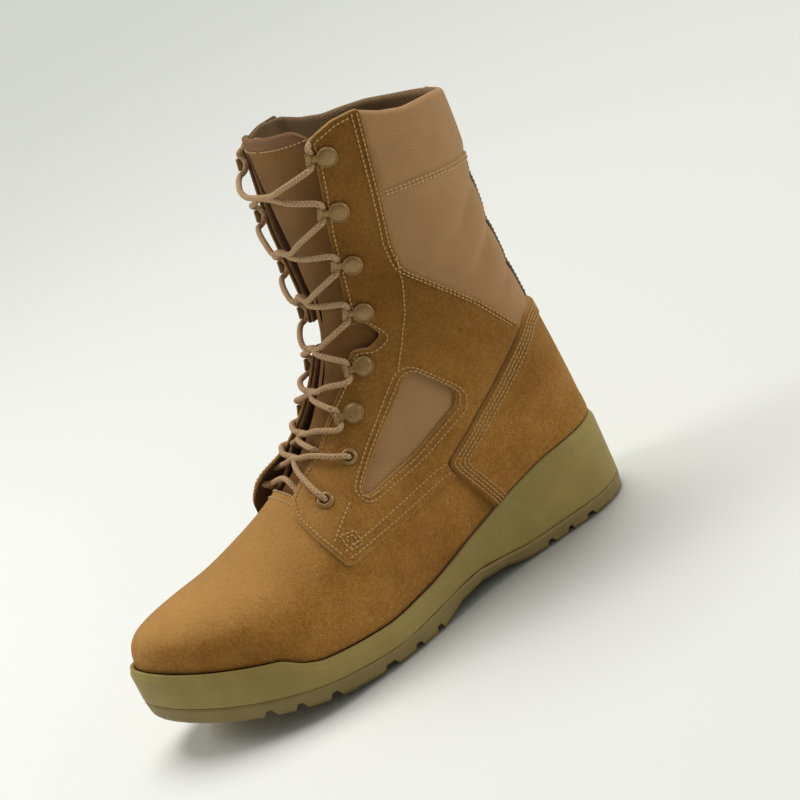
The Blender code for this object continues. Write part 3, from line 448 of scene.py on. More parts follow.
def resample(points, step, closed=True):
    """Points along straight pieces no longer than step, keeping every corner."""
    points = np.asarray(points, float)
    ends = np.roll(points, -1, axis=0) if closed else points[1:]
    out = []
    for start, end in zip(points, ends):
        count = max(1, int(math.ceil(np.linalg.norm(end - start) / step)))
        out += [start + (end - start) * k / count for k in range(count)]
    return np.array(out if closed else out + [points[-1]])


def inside(points, *outlines):
    """Which points lie inside the first closed outline and outside its holes, the others."""
    x, y = points.T
    hit = np.zeros(len(points), bool)
    for outline in outlines:
        for (x0, y0), (x1, y1) in zip(outline, np.roll(outline, -1, axis=0)):
            if y0 != y1:
                hit ^= ((y0 > y) != (y1 > y)) & (x < (x1 - x0) * (y - y0) / (y1 - y0) + x0)
    return hit


def rounded_outline(rows, steps=ROUNDING, closed=True):
    """A polygon from rows of y, z and radius, with its corners rounded."""
    outline = []
    for k, (y, z, radius) in enumerate(rows):
        corner = Vector((y, z))
        back = Vector(rows[k - 1][:2]) - corner
        ahead = Vector(rows[(k + 1) % len(rows)][:2]) - corner
        end_of_line = not closed and k in (0, len(rows) - 1)
        reach = radius / math.tan(back.angle(ahead) / 2) if radius and not end_of_line else 0
        reach = min(reach, CORNER_SHARE * back.length, CORNER_SHARE * ahead.length)
        if reach < CORNER_LEAST:
            outline.append(tuple(corner))
            continue
        start = corner + back.normalized() * reach
        end = corner + ahead.normalized() * reach
        for q in np.arange(steps + 1) / steps:
            outline.append(tuple(start * (1 - q) ** 2 + corner * 2 * q * (1 - q) + end * q * q))
    return outline


def to_flat(line, step=None, closed=True):
    """A side-view line on the flat map."""
    t, r = locate(*resample(line, 1.0, closed).T)
    line = flat(t, np.clip(r, 0, 1))
    return resample(line, step, closed) if step else line


def flat_path(rows):
    """An open side-view line of corners, some with a radius, as a fine line on the flat map."""
    return to_flat(rounded_outline([(*row, 0)[:3] for row in rows], closed=False), FINE, closed=False)


def sideways(along):
    """Unit vectors to the left of directions on the flat map."""
    across = np.stack([-along[:, 1], along[:, 0]], axis=1)
    return across / np.maximum(np.linalg.norm(across, axis=1, keepdims=True), 1e-9)


def nearest(points, others):
    """The distance from each point to the nearest of the others."""
    tree = KDTree(len(others))
    for k, other in enumerate(others):
        tree.insert((*other, 0)[:3], k)
    tree.balance()
    return np.array([tree.find((*point, 0)[:3])[2] for point in points])


class Patch:
    """A piece of the form in fine triangles: its plane points, t, r, faces and distance to a free edge."""

    def __init__(self, outline, holes=(), spacing=1.5, rows=(0.35, 0.8, 1.5, 2.4)):
        """outline, holes: closed side-view outlines; edges on the crest or back seam aren't free."""
        loops = [to_flat(loop, BORDER_STEP) for loop in (outline, *holes)]
        edges = []
        loose = []
        clear = []
        for loop in loops:
            start = len(edges)
            edges += [(start + k, start + (k + 1) % len(loop)) for k in range(len(loop))]
            across = sideways(np.roll(loop, -1, axis=0) - np.roll(loop, 1, axis=0))
            for row in rows:
                loose += [loop + across * row, loop - across * row]
                clear += [ROW_CLEAR * row] * 2 * len(loop)
        low = loops[0].min(axis=0)
        pitch = np.array((spacing, spacing * TRIANGLE_HIGH))
        count = np.ceil((loops[0].max(axis=0) - low) / pitch).astype(int) + 1
        grid = np.stack(np.meshgrid(np.arange(count[0]), np.arange(count[1])), axis=-1).astype(float)
        grid[..., 0] += 0.5 * (grid[..., 1] % 2)
        grid = low + grid.reshape(-1, 2) * pitch
        clear += [rows[-1] + 0.5 * spacing] * len(grid)
        loose = np.concatenate([*loose, grid])
        border = np.concatenate(loops)
        loose = loose[inside(loose, *loops) & (nearest(loose, border) > clear)]
        points = [Vector(point) for point in np.concatenate([border, loose])]
        verts, _, faces, *_ = delaunay_2d_cdt(points, edges, [], 0, 1e-5)
        self.plane = np.array([tuple(v) for v in verts])
        faces = np.array(faces)
        self.faces = faces[inside(self.plane[faces].mean(axis=1), *loops)]
        self.t, self.r = unflat(self.plane)
        edge = np.concatenate([resample(loop, FINE) for loop in loops])
        free = (edge > SEAM_NEAR).all(axis=1) & (edge[:, 1] < CREST - SEAM_NEAR)
        self.free_edge = boot_point(*unflat(edge[free]), 1)
        self.edge = nearest(boot_point(self.t, self.r, 1), self.free_edge)


# ---- meshes
def link(name, data):
    """A new object in the scene."""
    node = bpy.data.objects.new(name, data)
    bpy.context.scene.collection.objects.link(node)
    return node


def mesh_piece(name, points, faces, materials, finish, stands_for=(), spots=None, uvs=None, weld=0.02,
               outward=True):
    """A smooth piece from points in millimetres, riding on the boot, for the CAD nodes it stands for."""
    mesh = bpy.data.meshes.new(name)
    mesh.from_pydata((np.asarray(points) * MM).tolist(), [], [tuple(int(c) for c in f) for f in faces])
    if uvs is not None:
        layer = mesh.uv_layers.new(name="form")
        corner = np.zeros(len(mesh.loops), np.int32)
        mesh.loops.foreach_get("vertex_index", corner)
        layer.data.foreach_set("uv", np.asarray(uvs, float)[corner].ravel())
    for material in materials:
        mesh.materials.append(material)
    if spots is not None:
        mesh.polygons.foreach_set("material_index", [int(spot) for spot in spots])
    if weld:
        shape = bmesh.new()
        shape.from_mesh(mesh)
        bmesh.ops.remove_doubles(shape, verts=shape.verts, dist=weld * MM)
        if outward:
            bmesh.ops.recalc_face_normals(shape, faces=shape.faces)
        shape.to_mesh(mesh)
        shape.free()
    mesh.shade_smooth()
    node = link(name, mesh)
    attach(node, "root")
    for part in stands_for:
        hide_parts(part)
    return node


def loft(rings, around, pair=None):
    """Faces of a tube through closed rings; its ends are capped from point k to point pair - k."""
    faces = []
    for k in range((rings - 1) * around):
        after = k + 1 - around * (k % around == around - 1)
        faces.append((k, after, after + around, k + around))
    if pair is not None:
        for first, turn in ((0, -1), ((rings - 1) * around, 1)):
            for k in range(around // 2):
                cap = (k, k + 1, (pair - k - 1) % around, (pair - k) % around)
                cap = tuple(first + c for c in dict.fromkeys(cap))
                if len(cap) > 2:
                    faces.append(cap[::turn])
    return faces


def joined(parts):
    """The points and faces of several meshes as one."""
    points = []
    faces = []
    for part_points, part_faces in parts:
        faces += [tuple(c + len(points) for c in face) for face in part_faces]
        points += list(part_points)
    return np.array(points), faces


def rim_edges(patch):
    """The directed edges that one triangle alone uses, apart from those where the two halves join."""
    edges = np.concatenate([patch.faces[:, pair] for pair in ((0, 1), (1, 2), (2, 0))])
    keys = {tuple(edge) for edge in edges}
    ring = np.array([edge for edge in edges if (edge[1], edge[0]) not in keys])
    along, across = np.moveaxis(patch.plane[ring], -1, 0)
    on_back = (across < SEAM_NEAR) & (patch.t[ring] > HEEL_T - 1e-4)
    seams = (across > CREST - SEAM_NEAR, on_back, along < SEAM_NEAR)
    return ring[~np.any([seam.all(axis=1) for seam in seams], axis=0)]


def panel(name, patch, sides, heights, materials, finish, stands_for=(), spots=None):
    """A leather or cloth piece: the patch between two heights, on one side or welded from both.

    heights: functions of (patch, side, points) for its outer and inner face, in mm; spots: the same
    for a material index per outer triangle. The inner face takes the last material.
    """
    points = []
    faces = []
    slots = []
    ring = rim_edges(patch)
    tip = patch.plane[:, 0] < SEAM_NEAR
    for side in sides:
        base = boot_point(patch.t, patch.r, side)
        base[tip, 0] = (base[tip, 0] + boot_point(patch.t[tip], patch.r[tip], -side)[:, 0]) / 2
        normal = form_normal(patch.t, patch.r, side)
        start = len(points)
        for height in heights:
            points += [*moved_out(base, normal, height(patch, side, base))]
        upper = patch.faces[:, ::side]
        lower = upper[:, ::-1] + len(base)
        a, b = ring[:, ::side].T
        walls = np.stack([b, a, a + len(base), b + len(base)], axis=1)
        for group in (upper, lower, walls):
            faces += [*(group + start)]
        slots += [*(spots(patch, side, base) if spots else [0] * len(upper))]
        slots += [len(materials) - 1] * len(lower) + [0] * len(walls)
    uvs = np.concatenate([patch.plane * MM * (1, side) for side in sides for _ in heights])
    return mesh_piece(name, points, faces, materials, finish, stands_for, slots, uvs, outward=False)


# ---- materials
def new_material(name, colour, roughness, settings=()):
    """A Principled material and its node tree."""
    material = bpy.data.materials.new(name)
    material.use_nodes = True
    sockets = material.node_tree.nodes["Principled BSDF"].inputs
    for key, value in {"Base Color": (*colour, 1), "Roughness": roughness, **dict(settings)}.items():
        sockets[key].default_value = value
    return material, material.node_tree


def add(tree, kind, settings=(), **inputs):
    """A node with its inputs, by name or as i0, i1, set by value or linked from another node's output."""
    node = tree.nodes.new(kind)
    for key, value in dict(settings).items():
        setattr(node, key, value)
    for key, value in inputs.items():
        socket = node.inputs[int(key[1:]) if key[1:].isdigit() else key]
        if isinstance(value, bpy.types.NodeSocket):
            tree.links.new(value, socket)
        else:
            socket.default_value = value
    return node


def maths(tree, operation, *values):
    named = {"i%d" % k: value for k, value in enumerate(values)}
    return add(tree, "ShaderNodeMath", {"operation": operation}, **named).outputs[0]


def weighed(tree, terms, total=0.0):
    """The sum of values times their weights."""
    for value, weight in terms:
        total = maths(tree, "MULTIPLY_ADD", value, weight, total)
    return total


def place(tree, kind="Object"):
    return add(tree, "ShaderNodeTexCoord").outputs[kind]


def parts(tree, vector):
    return add(tree, "ShaderNodeSeparateXYZ", Vector=vector).outputs


def noise(tree, scale, detail=3.0, rough=0.55):
    return add(tree, "ShaderNodeTexNoise", Vector=place(tree), Scale=scale, Detail=detail,
               Roughness=rough).outputs[0]


def spread(tree, value, low, high, top):
    """0 at low rising to top at high."""
    limits = {"From Min": low, "From Max": high, "To Max": top}
    return add(tree, "ShaderNodeMapRange", Value=value, **limits).outputs[0]


def ramp(tree, factor, *stops):
    """A colour ramp from (position, colour) rows."""
    node = add(tree, "ShaderNodeValToRGB", Fac=factor)
    elements = node.color_ramp.elements
    while len(elements) < len(stops):
        elements.new(0.5)
    for element, (position, colour) in zip(elements, stops):
        element.position = position
        element.color = (*colour, 1)
    return node.outputs[0]


def blend(tree, factor, colour, other):
    """A node's colour mixed with a constant one."""
    return add(tree, "ShaderNodeMix", {"data_type": "RGBA"}, i0=factor, i6=colour, i7=(*other, 1)).outputs[2]


def dress(material, colour, height, strength, distance):
    """The material with a node's colour, and bumped by a height over a distance in metres."""
    tree = material.node_tree
    shader = tree.nodes["Principled BSDF"]
    tree.links.new(colour, shader.inputs["Base Color"])
    bump = add(tree, "ShaderNodeBump", Height=height, Strength=strength, Distance=distance)
    tree.links.new(bump.outputs[0], shader.inputs["Normal"])
    return material


PAINTED_TOP_HIGHLIGHT = (0.64, 0.36, 0.118)     # painted highlight: the nap made lighter where it faces up, towards the light
PAINTED_SHADE = (0.1, 0.036, 0.003)       # painted shade: the suede is darkened towards this colour up the boot
SHAFT_Z = (0.06, 0.17)           # metres: the painted shade grows from the vamp up to the shaft
BUMP_FINE = 0.0004


def suede(name, dark, middle, light):
    """Rough-out leather: mottled nap with short fibres and a soft sheen, painted shade up the boot and a
    painted highlight where it faces up.
    """
    sheen = {"Specular IOR Level": 0.15, "Sheen Weight": 0.28, "Sheen Roughness": 0.45,
             "Sheen Tint": (1.0, 0.66, 0.3, 1)}
    material, tree = new_material(name, middle, 0.95, sheen)
    clouds = noise(tree, 30, 5, 0.62)
    nap = noise(tree, 420, 4, 0.7)
    fibre = noise(tree, 1500, 3, 0.75)
    mottle = weighed(tree, ((clouds, 0.28), (nap, 0.2), (fibre, 0.52)))
    colour = ramp(tree, mottle, (0.38, dark), (0.5, middle), (0.62, light))
    # painted shade: darker up the boot, half way to the shade colour at the shaft
    shaded = blend(tree, spread(tree, parts(tree, place(tree))[2], *SHAFT_Z, 0.5), colour, PAINTED_SHADE)
    up = parts(tree, add(tree, "ShaderNodeNewGeometry").outputs["Normal"])[2]
    # painted highlight: lighter where the surface faces up
    highlighted = blend(tree, spread(tree, up, 0.5, 1.0, 0.46), shaded, PAINTED_TOP_HIGHLIGHT)
    return dress(material, highlighted, weighed(tree, ((fibre, 0.7), (nap, 0.9))), 0.9, 0.001)


def woven(name, dark, light, pitch=0.9, diagonal=0.0, sheen=0.2):
    """Woven nylon: two threads over and under each other, on the form's flat map in metres."""
    finish = {"Specular IOR Level": 0.25, "Sheen Weight": sheen, "Sheen Tint": (1.0, 0.8, 0.6, 1)}
    material, tree = new_material(name, light, 0.8, finish)
    split = parts(tree, place(tree, "UV"))
    turn = TURN / (pitch * MM)
    warp = maths(tree, "SINE", weighed(tree, ((split[0], turn), (split[1], diagonal * turn))))
    weft = maths(tree, "SINE", maths(tree, "MULTIPLY", split[1], turn))
    weave = maths(tree, "MULTIPLY", warp, weft)
    shade = weighed(tree, ((weave, 0.3), (noise(tree, 60, 3, 0.6), 0.4)), 0.3)
    return dress(material, ramp(tree, shade, (0.2, dark), (0.75, light)), weave, 0.6, BUMP_FINE)


def rubber(name, dark, light):
    """Moulded rubber: soft clouds, fine grain and a little wrinkling."""
    material, tree = new_material(name, light, 0.62)
    colour = ramp(tree, noise(tree, 30, 4, 0.6), (0.3, dark), (0.7, light))
    height = weighed(tree, ((noise(tree, 1500, 2, 0.6), 0.3),), noise(tree, 210, 3, 0.65))
    return dress(material, colour, height, 0.45, 0.001)


def metal(name, colour, worn):
    """Painted metal, spotted where it is worn."""
    material, tree = new_material(name, colour, 0.34, {"Metallic": 0.3})
    spotted = ramp(tree, noise(tree, 420, 4, 0.6), (0.35, colour), (0.75, worn))
    return dress(material, spotted, noise(tree, 1400, 2), 0.12, 0.0002)


def braid(name, dark, light):
    """Braided cord: strands crossing in both diagonals of the cord's own map."""
    material, tree = new_material(name, light, 0.85)
    split = parts(tree, place(tree, "UV"))
    diagonals = [weighed(tree, ((split[0], TURN), (split[1], way))) for way in (TURN, -TURN)]
    weave = maths(tree, "MAXIMUM", *(maths(tree, "SINE", diagonal) for diagonal in diagonals))
    shade = weighed(tree, ((weave, 0.35), (noise(tree, 900), 0.4)))
    return dress(material, ramp(tree, shade, (0.0, dark), (0.5, light)), weave, 0.6, BUMP_FINE)


SUEDE = suede("suede", (0.21, 0.084, 0.013), (0.36, 0.161, 0.03), (0.56, 0.28, 0.064))
FABRIC = woven("nylon", (0.33, 0.175, 0.068), (0.5, 0.275, 0.112))
TONGUE_CLOTH = woven("tongue_nylon", (0.16, 0.072, 0.014), (0.275, 0.128, 0.028), pitch=1.2, sheen=0.04)
BINDING = woven("binding", (0.15, 0.066, 0.024), (0.26, 0.122, 0.046), pitch=1.3, diagonal=0.4, sheen=0.08)
LINING = woven("lining_knit", (0.14, 0.08, 0.034), (0.25, 0.152, 0.07), pitch=1.6, diagonal=0.5, sheen=0.05)
WEBBING = woven("webbing", (0.05, 0.036, 0.02), (0.1, 0.072, 0.042), pitch=1.6)
MIDSOLE = rubber("midsole_rubber", (0.25, 0.18, 0.04), (0.335, 0.25, 0.062))
TREAD = rubber("tread_rubber", (0.2, 0.14, 0.04), (0.27, 0.195, 0.06))
HARDWARE = metal("painted_metal", (0.26, 0.15, 0.046), (0.35, 0.215, 0.076))
THREAD = braid("thread", (0.38, 0.215, 0.072), (0.62, 0.39, 0.155))
SEAM_THREAD = braid("seam_thread", (0.46, 0.3, 0.13), (0.64, 0.44, 0.22))
CUT_EDGE = suede("cut_edge", (0.32, 0.16, 0.045), (0.46, 0.26, 0.085), (0.6, 0.36, 0.14))
CORD = braid("lace_braid", (0.33, 0.2, 0.094), (0.51, 0.325, 0.162))


# ---- heights over the form
# creases: side (0 for both), from y, z to y, z, half width and height
FOLDS = ((0, 141.0, 204.0, 108.0, 186.0, 4.5, -2.8),
         (0, 134.0, 185.7, 114.0, 174.0, 4.0, 1.4),
         (0, 141.0, 177.0, 104.0, 160.0, 4.2, -2.6),
         (0, 134.0, 160.1, 112.0, 152.0, 4.0, 1.4),
         (0, 141.0, 149.0, 116.0, 140.0, 3.6, -1.8),
         (1, 118.0, 182.0, 84.0, 186.0, 3.2, -0.7),
         (1, 112.0, 164.0, 88.0, 172.0, 3.0, 0.6),
         (0, 120.0, 205.0, 96.0, 214.0, 6.0, -0.8),
         (1, 136.0, 140.0, 112.0, 146.0, 4.0, -0.9),
         (1, 100.0, 196.0, 84.0, 180.0, 7.0, 0.8))
FOLD_PAST = 0.15         # share of its length that a crease runs on past its ends
FOLD_FADE = 0.35
COLLAR_ROUND = 7.0
LET_IN = 0.25            # how far the quarter's leather reaches into the gap below it
QUARTER_ROUND = 1.3
SEWN_IN = 2.6            # where the quarter's edge row pulls it down
SEWN_PULL = (0.8, 0.34)  # half width and depth
COUNTER_FLOOR = 0.1
COUNTER_HIGH = 2.75
COUNTER_ROUND = 1.5
BAND_WIDE = 9.6          # the counter's raised band, and its rows of stitches from the edge
BAND_HIGH = 0.45
BAND_STEP = 0.35         # how softly the band steps down
BAND_ROWS = (2.0, 4.1, 6.2, 8.3)
BAND_PULL = (0.6, 0.2)
HOLE_RADIUS = 2.75


def pad(t, r):
    """1 on the padded collar behind the eyestays, rounding off at its seam."""
    return dome((t - STATION[SEAM_ROW]) * FAN, COLLAR_ROUND) * np.clip((PAD_FRONT - r) / PAD_FADE, 0, 1)


def folds(points, side, table=FOLDS):
    """Soft troughs and ridges along a table's side-view segments, fading past both ends."""
    height = np.zeros(len(points))
    for on_side, y0, z0, y1, z1, wide, high in table:
        if on_side and on_side != side:
            continue
        line = np.array((y1 - y0, z1 - z0))
        from_start = points[:, 1:3] - (y0, z0)
        reach = np.clip(from_start @ line / (line @ line), -FOLD_PAST, 1 + FOLD_PAST)
        away = np.linalg.norm(from_start - reach[:, None] * line, axis=1)
        fade = np.clip(1 - np.abs(reach - 0.5) * 2 + FOLD_FADE, 0, 1)
        height += high * np.exp(-(away / wide) ** 2) * fade
    return height


def wall_face(sign):
    """The height of the wall's outer (1) or inner (-1) face, which meet in its rounded edges."""
    def height(patch, side, points):
        padded = pad(patch.t, patch.r)
        half = (WALL + (COLLAR_PROUD + COLLAR_PAD) * padded) / 2
        lift = wall_flare(points[:, 1], patch.r, side) + folds(points, side)
        return COLLAR_PROUD * padded + lift - half + sign * half * dome(patch.edge, half)
    return height


def quarter_seat(t, r, side, points):
    """The height of a quarter's underside."""
    return COLLAR_PROUD * pad(t, r) + GAP + flare(points[:, 1], r) * (side < 0) + folds(points, side)


def groove(distance, at, wide, deep):
    """The thread's pull on the leather along a row at a distance from the edge."""
    return -deep * np.exp(-((distance - at) / wide) ** 2)


def quarter_top(patch, side, points):
    thick = (LEATHER + LET_IN) * dome(patch.edge, QUARTER_ROUND) - LET_IN
    return quarter_seat(patch.t, patch.r, side, points) + thick + groove(patch.edge, SEWN_IN, *SEWN_PULL)


def quarter_bottom(patch, side, points):
    return quarter_seat(patch.t, patch.r, side, points) - LET_IN


def counter_top(patch, *_):
    """A thick leather with a raised, stitched band along its free edge."""
    band = BAND_HIGH / (1 + np.exp((patch.edge - BAND_WIDE) / BAND_STEP))
    pressed = sum(groove(patch.edge, at, *BAND_PULL) for at in BAND_ROWS)
    rise = (COUNTER_HIGH + band - COUNTER_FLOOR) * dome(patch.edge, COUNTER_ROUND)
    return COUNTER_FLOOR + rise + pressed


# ---- outlines and the upper
# past the form's toe, sole and back, clipped to it, from the vamp's throat round to the rim
AROUND = ((-60.0, 130.0), (-100.0, 120.0), (-165.0, 90.0), (-165.0, 30.0), (-100.0, -30.0), (50.0, -30.0),
          (175.0, -30.0), (175.0, 120.0), (175.0, 250.5))
SHAFT_PANEL = ((56.0, 230.1), (75.0, 227.3), (98.0, 223.9), (120.0, 220.6), (137.0, 218.1), (165.0, 213.9),
               (165.0, 118.0), (118.0, 118.0), (92.0, 140.0), (64.0, 172.0), (57.0, 200.0))
VAMP_BACK = -30          # the wall is suede up to these, in y and z, and fabric behind and above
VAMP_TOP = 74
RAW_WIDE = 0.75          # of the quarter's cut edge
PANEL_HIGH = 0.7         # the shaft panel's faces
PANEL_LOW = -0.5


def quarter_outline():
    counter = [(y - COUNTER_CLEAR, z + COUNTER_CLEAR, turn) for y, z, turn in COUNTER_EDGE[:-1]]
    return rounded_outline(QUARTER_EDGE + QUARTER_FRONT + tuple(counter) + FABRIC_EDGE)


def counter_outline():
    foot = np.linspace(COUNTER_BACK, COUNTER_FOOT, 24)
    along = [(float(y), float(lip_z(LENGTH / 2 - min(y, LENGTH / 2))) + LIP_CLEAR, 0) for y in foot]
    return rounded_outline(COUNTER_EDGE + ((COUNTER_BACK, COUNTER_TOP, 0),) + tuple(along))


def wall_outline():
    """One half of the wall: rim, eyestay edge, vamp's throat, and round the form."""
    edge = [(y + THROAT_BACK, z, turn) for y, z, turn in QUARTER_EDGE[1:-2]]
    throat = [(*row, 0) for row in VAMP_THROAT]
    front = rounded_outline([(*RIM[0], 0)] + edge + throat, closed=False)
    rim = rounded_outline([(*row, RIM_ROUND) for row in RIM[::-1]], closed=False)
    return rim + front[1:] + list(AROUND)


def raw_edge(patch, *_):
    return patch.edge[patch.faces].mean(axis=1) < RAW_WIDE


def wall_cloth(patch, side, base):
    middle = base[patch.faces].mean(axis=1)
    return (middle[:, 1] > VAMP_BACK) & (middle[:, 2] > VAMP_TOP)


def eyelet_hole(spot):
    """A round hole through wall and quarter, as its side-view outline."""
    turns = np.arange(24) * TURN / 24
    rim = HOLE_RADIUS * np.stack([np.cos(turns), np.sin(turns), 0 * turns], axis=1)
    return placed(rim, leather_seat(*spot, 1, LEATHER))[:, 1:]


def build_upper():
    both = (1, -1)
    holes = [eyelet_hole(spot) for spot in EYELETS]
    wall = Patch(wall_outline(), holes, spacing=1.9, rows=(0.5, 1.2, 2.2, 3.4))
    panel("wall_and_vamp", wall, both, (wall_face(1), wall_face(-1)), (SUEDE, FABRIC, LINING), "suede",
          ("upper",), wall_cloth)
    shaft = (lambda patch, side, base: PANEL_HIGH + dome(patch.edge, 1.0) - 1 + folds(base, side),
             lambda patch, side, base: PANEL_LOW + folds(base, side))
    panel("shaft_panel", Patch(SHAFT_PANEL, spacing=1.7), both, shaft, (FABRIC,), "shaft_fabric")
    quarter = Patch(quarter_outline(), [rounded_outline(WINDOW)] + holes)
    for word, side in SIDES:
        node = "quarter_" + word
        panel(node + "_suede", quarter, (side,), (quarter_top, quarter_bottom), (SUEDE, CUT_EDGE, LINING),
              "suede", (node,), raw_edge)
    panel("heel_counter_suede", Patch(counter_outline()), both, (counter_top, lambda *_: 0.0), (SUEDE,),
          "suede", ("heel_counter",))


# ---- the sole and the footbed
# inset from the sole's edge, and the height over the parting line or the lip
MIDSOLE_LOW = ((2.5, 0.3), (0.6, 0.3), (0.15, 0.9), (0.0, 1.8))
MIDSOLE_HIGH = ((0.1, -9.0), (0.1, -4.9), (0.25, -4.4), (0.7, -3.6), (1.5, -1.2), (1.75, -0.5),
                (2.2, -0.1), (2.8, 0.0), (3.5, -0.3), (CUP_INSET, -1.2))
# the footbed's moulded, dished top: inset from its own edge, and the height over the cup
FOOTBED = ((0.6, 0.0), (0.1, 0.7), (0.0, 2.4), (0.5, 3.6), (1.6, 4.4), (3.5, 4.4), (6.5, 4.0), (11.0, 3.6),
           (16.0, 3.6), (21.0, 3.7))


def sole_rings(rings, count):
    """Points and faces of a loft through rings (inset, curve, rise) around the sole's plan."""
    points = []
    for inset, curve, rise in rings:
        for side, part in ((1, slice(None)), (-1, slice(-2, 0, -1))):
            x, y = edge_line(side, inset, count)
            points += [*np.stack([x, y, curve(LENGTH / 2 - y) + rise], axis=1)[part]]
    return np.array(points), loft(len(rings), 2 * count - 2, 0)


def build_sole():
    rings = [(inset, parting_z, rise) for inset, rise in MIDSOLE_LOW]
    rings += [(inset, lip_z, rise) for inset, rise in MIDSOLE_HIGH] + [(CUP_INSET, cup_z, 0.0)]
    mesh_piece("midsole_cup", *sole_rings(rings, 190), (MIDSOLE,), "sole_rubber", ("midsole",), weld=0.001)
    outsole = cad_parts["outsole"].data.materials
    outsole.clear()
    outsole.append(TREAD)
    points, faces = sole_rings([(INSOLE_INSET + inset, cup_z, GAP + rise) for inset, rise in FOOTBED], 120)
    mesh_piece("footbed", points, faces, (LINING,), "lining", ("insole",), uvs=points[:, :2] * MM, weld=0.001)


# ---- camera, floor and light
AZIMUTH = math.radians(70.0)     # from -Y round towards +X
ELEVATION = math.radians(17.5)
ROLL = math.radians(26.13)
DISTANCE = 1.1
AIM = Vector((0, 0, 0.12))
FRAME_WIDE = 36                  # millimetres, like the lens
LENS = 90.5
SHIFT = (0.104, 0.036)
FLOOR_HALF = 40
FLOOR_COLOUR = (0.845, 0.86, 0.825)
AIR_COLOUR = (0.95, 0.985, 0.98, 1)
AIR = 0.24                       # the world's light, and how much brighter the camera sees it
AIR_SEEN = 0.4
OVERHEAD = (1.85, math.radians(40), (1, 0.985, 0.95), Vector((-0.25, 0.1, 0.9)))
#         place, aim, size, power, colour
LAMPS = {"softbox": ((-0.6, 0.35, 2.6), (0, 0, 0.1), 2.0, 9, (1, 0.99, 0.96)),
         "heel_side": ((0.9, 1.5, 0.85), (0, 0.05, 0.12), 1.0, 13, (1, 0.985, 0.95)),
         "toe_side": ((-0.75, -1.0, 0.95), (0, -0.08, 0.08), 0.6, 7, (1, 0.985, 0.95))}


def build_camera():
    camera = link("camera", bpy.data.cameras.new("camera"))
    turned = Matrix.Rotation(AZIMUTH, 4, "Z") @ Matrix.Rotation(math.pi / 2 - ELEVATION, 4, "X")
    turned = turned @ Matrix.Rotation(-ROLL, 4, "Z")
    camera.matrix_world = Matrix.Translation(AIM) @ turned @ Matrix.Translation((0, 0, DISTANCE))
    camera.data.sensor_width = FRAME_WIDE
    camera.data.lens = LENS
    camera.data.shift_x, camera.data.shift_y = SHIFT
    camera.data.clip_start = 0.01
    bpy.context.scene.camera = camera


def build_studio():
    bpy.context.scene.view_settings.view_transform = "Standard"
    mesh = bpy.data.meshes.new("floor")
    corners = [(x * FLOOR_HALF, y * FLOOR_HALF, 0) for x, y in ((-1, -1), (1, -1), (1, 1), (-1, 1))]
    mesh.from_pydata(corners, [], [(0, 1, 2, 3)])
    mesh.materials.append(new_material("studio_floor", FLOOR_COLOUR, 0.7, {"Specular IOR Level": 0.1})[0])
    floor = link("floor", mesh)
    world = bpy.data.worlds.new("studio")
    bpy.context.scene.world = world
    world.use_nodes = True
    tree = world.node_tree
    background = tree.nodes["Background"].inputs
    background["Color"].default_value = AIR_COLOUR
    seen = add(tree, "ShaderNodeLightPath").outputs["Is Camera Ray"]
    tree.links.new(weighed(tree, ((seen, AIR_SEEN),), AIR), background["Strength"])
    overhead = bpy.data.lights.new("overhead", "SUN")
    overhead.energy, overhead.angle, overhead.color, towards = OVERHEAD
    link("overhead", overhead).rotation_euler = towards.to_track_quat("Z", "Y").to_euler()
    for name, (where, aim, size, power, colour) in LAMPS.items():
        lamp = link(name, bpy.data.lights.new(name, "AREA"))
        lamp.data.size, lamp.data.energy, lamp.data.color = size, power, colour
        lamp.location = where
        lamp.rotation_euler = (Vector(aim) - lamp.location).to_track_quat("-Z", "Y").to_euler()
    unlit = bpy.data.collections.new("not_lit_from_heel_side")
    unlit.objects.link(floor)
    bpy.data.objects["heel_side"].light_linking.receiver_collection = unlit
    unlit.collection_objects[0].light_linking.link_state = "EXCLUDE"


# ---- stitches
STITCH = 2.7             # pitch of the thread's stitches
STITCH_HALF = 0.44 * STITCH
THREAD_RADIUS = 0.5
# rings of a stitch: place from its middle to its end, height, and share of the thread's radius
STITCH_RINGS = ((-1.0, -0.35, 0.35), (-0.72, 0.16, 0.9), (0.0, 0.36, 1.0), (0.72, 0.16, 0.9),
                (1.0, -0.35, 0.35))
STITCH_SIDES = 6
FACING_BACK = ((68.4, 192.0, 0), (66.4, 176.0, 20), (62.0, 160.0, 20), (54.5, 146.0, 20), (45.5, 133.0, 0))
FACING_FOOT = ((-14.5, 86.5), (-36.0, 73.5))
OVERLAP = 16             # points of a closed row that are sewn twice
BAR_TACK = (((-30.5, 67.6), (-22.5, 67.2), (-22.0, 74.2), (-30.2, 75.6), (-30.5, 68.4)),
            ((-28.6, 69.6), (-24.4, 69.2), (-24.0, 72.8), (-28.4, 73.6), (-28.6, 70.2)))
FOOT_ON = (50.0, 67.2, 0)         # the foot's rows run on to the counter's edge
THROAT = ((-36.6, 102.0), (-34.5, 97.5), (-33.6, 94.8))
CREST_CLEAR = 0.2        # rows over the crest stop short of it
# distances of the rows from their edges
FRONT_ROW = 2.8
FOOT_ROWS = (3.0, 6.6)
CLOTH_ROWS = (1.7, 3.9)
WINDOW_ROWS = (1.7, 3.8)
THROAT_ROWS = (1.8, 3.6)
COLLAR_ROWS = (1.6, 3.6)
ROW_NEAR = 0.12          # a row drops its points that come nearer to the edge by this
BAND_START = 2.0         # the counter's rows start this far above the sole's lip
BAND_SOFT = 6            # points that their bends are eased over
# how deep the threads sink into the leather, or how far they stand off it
THREAD_SUNK = 0.05
QUARTER_SUNK = 0.12
BAND_OFF = 0.27


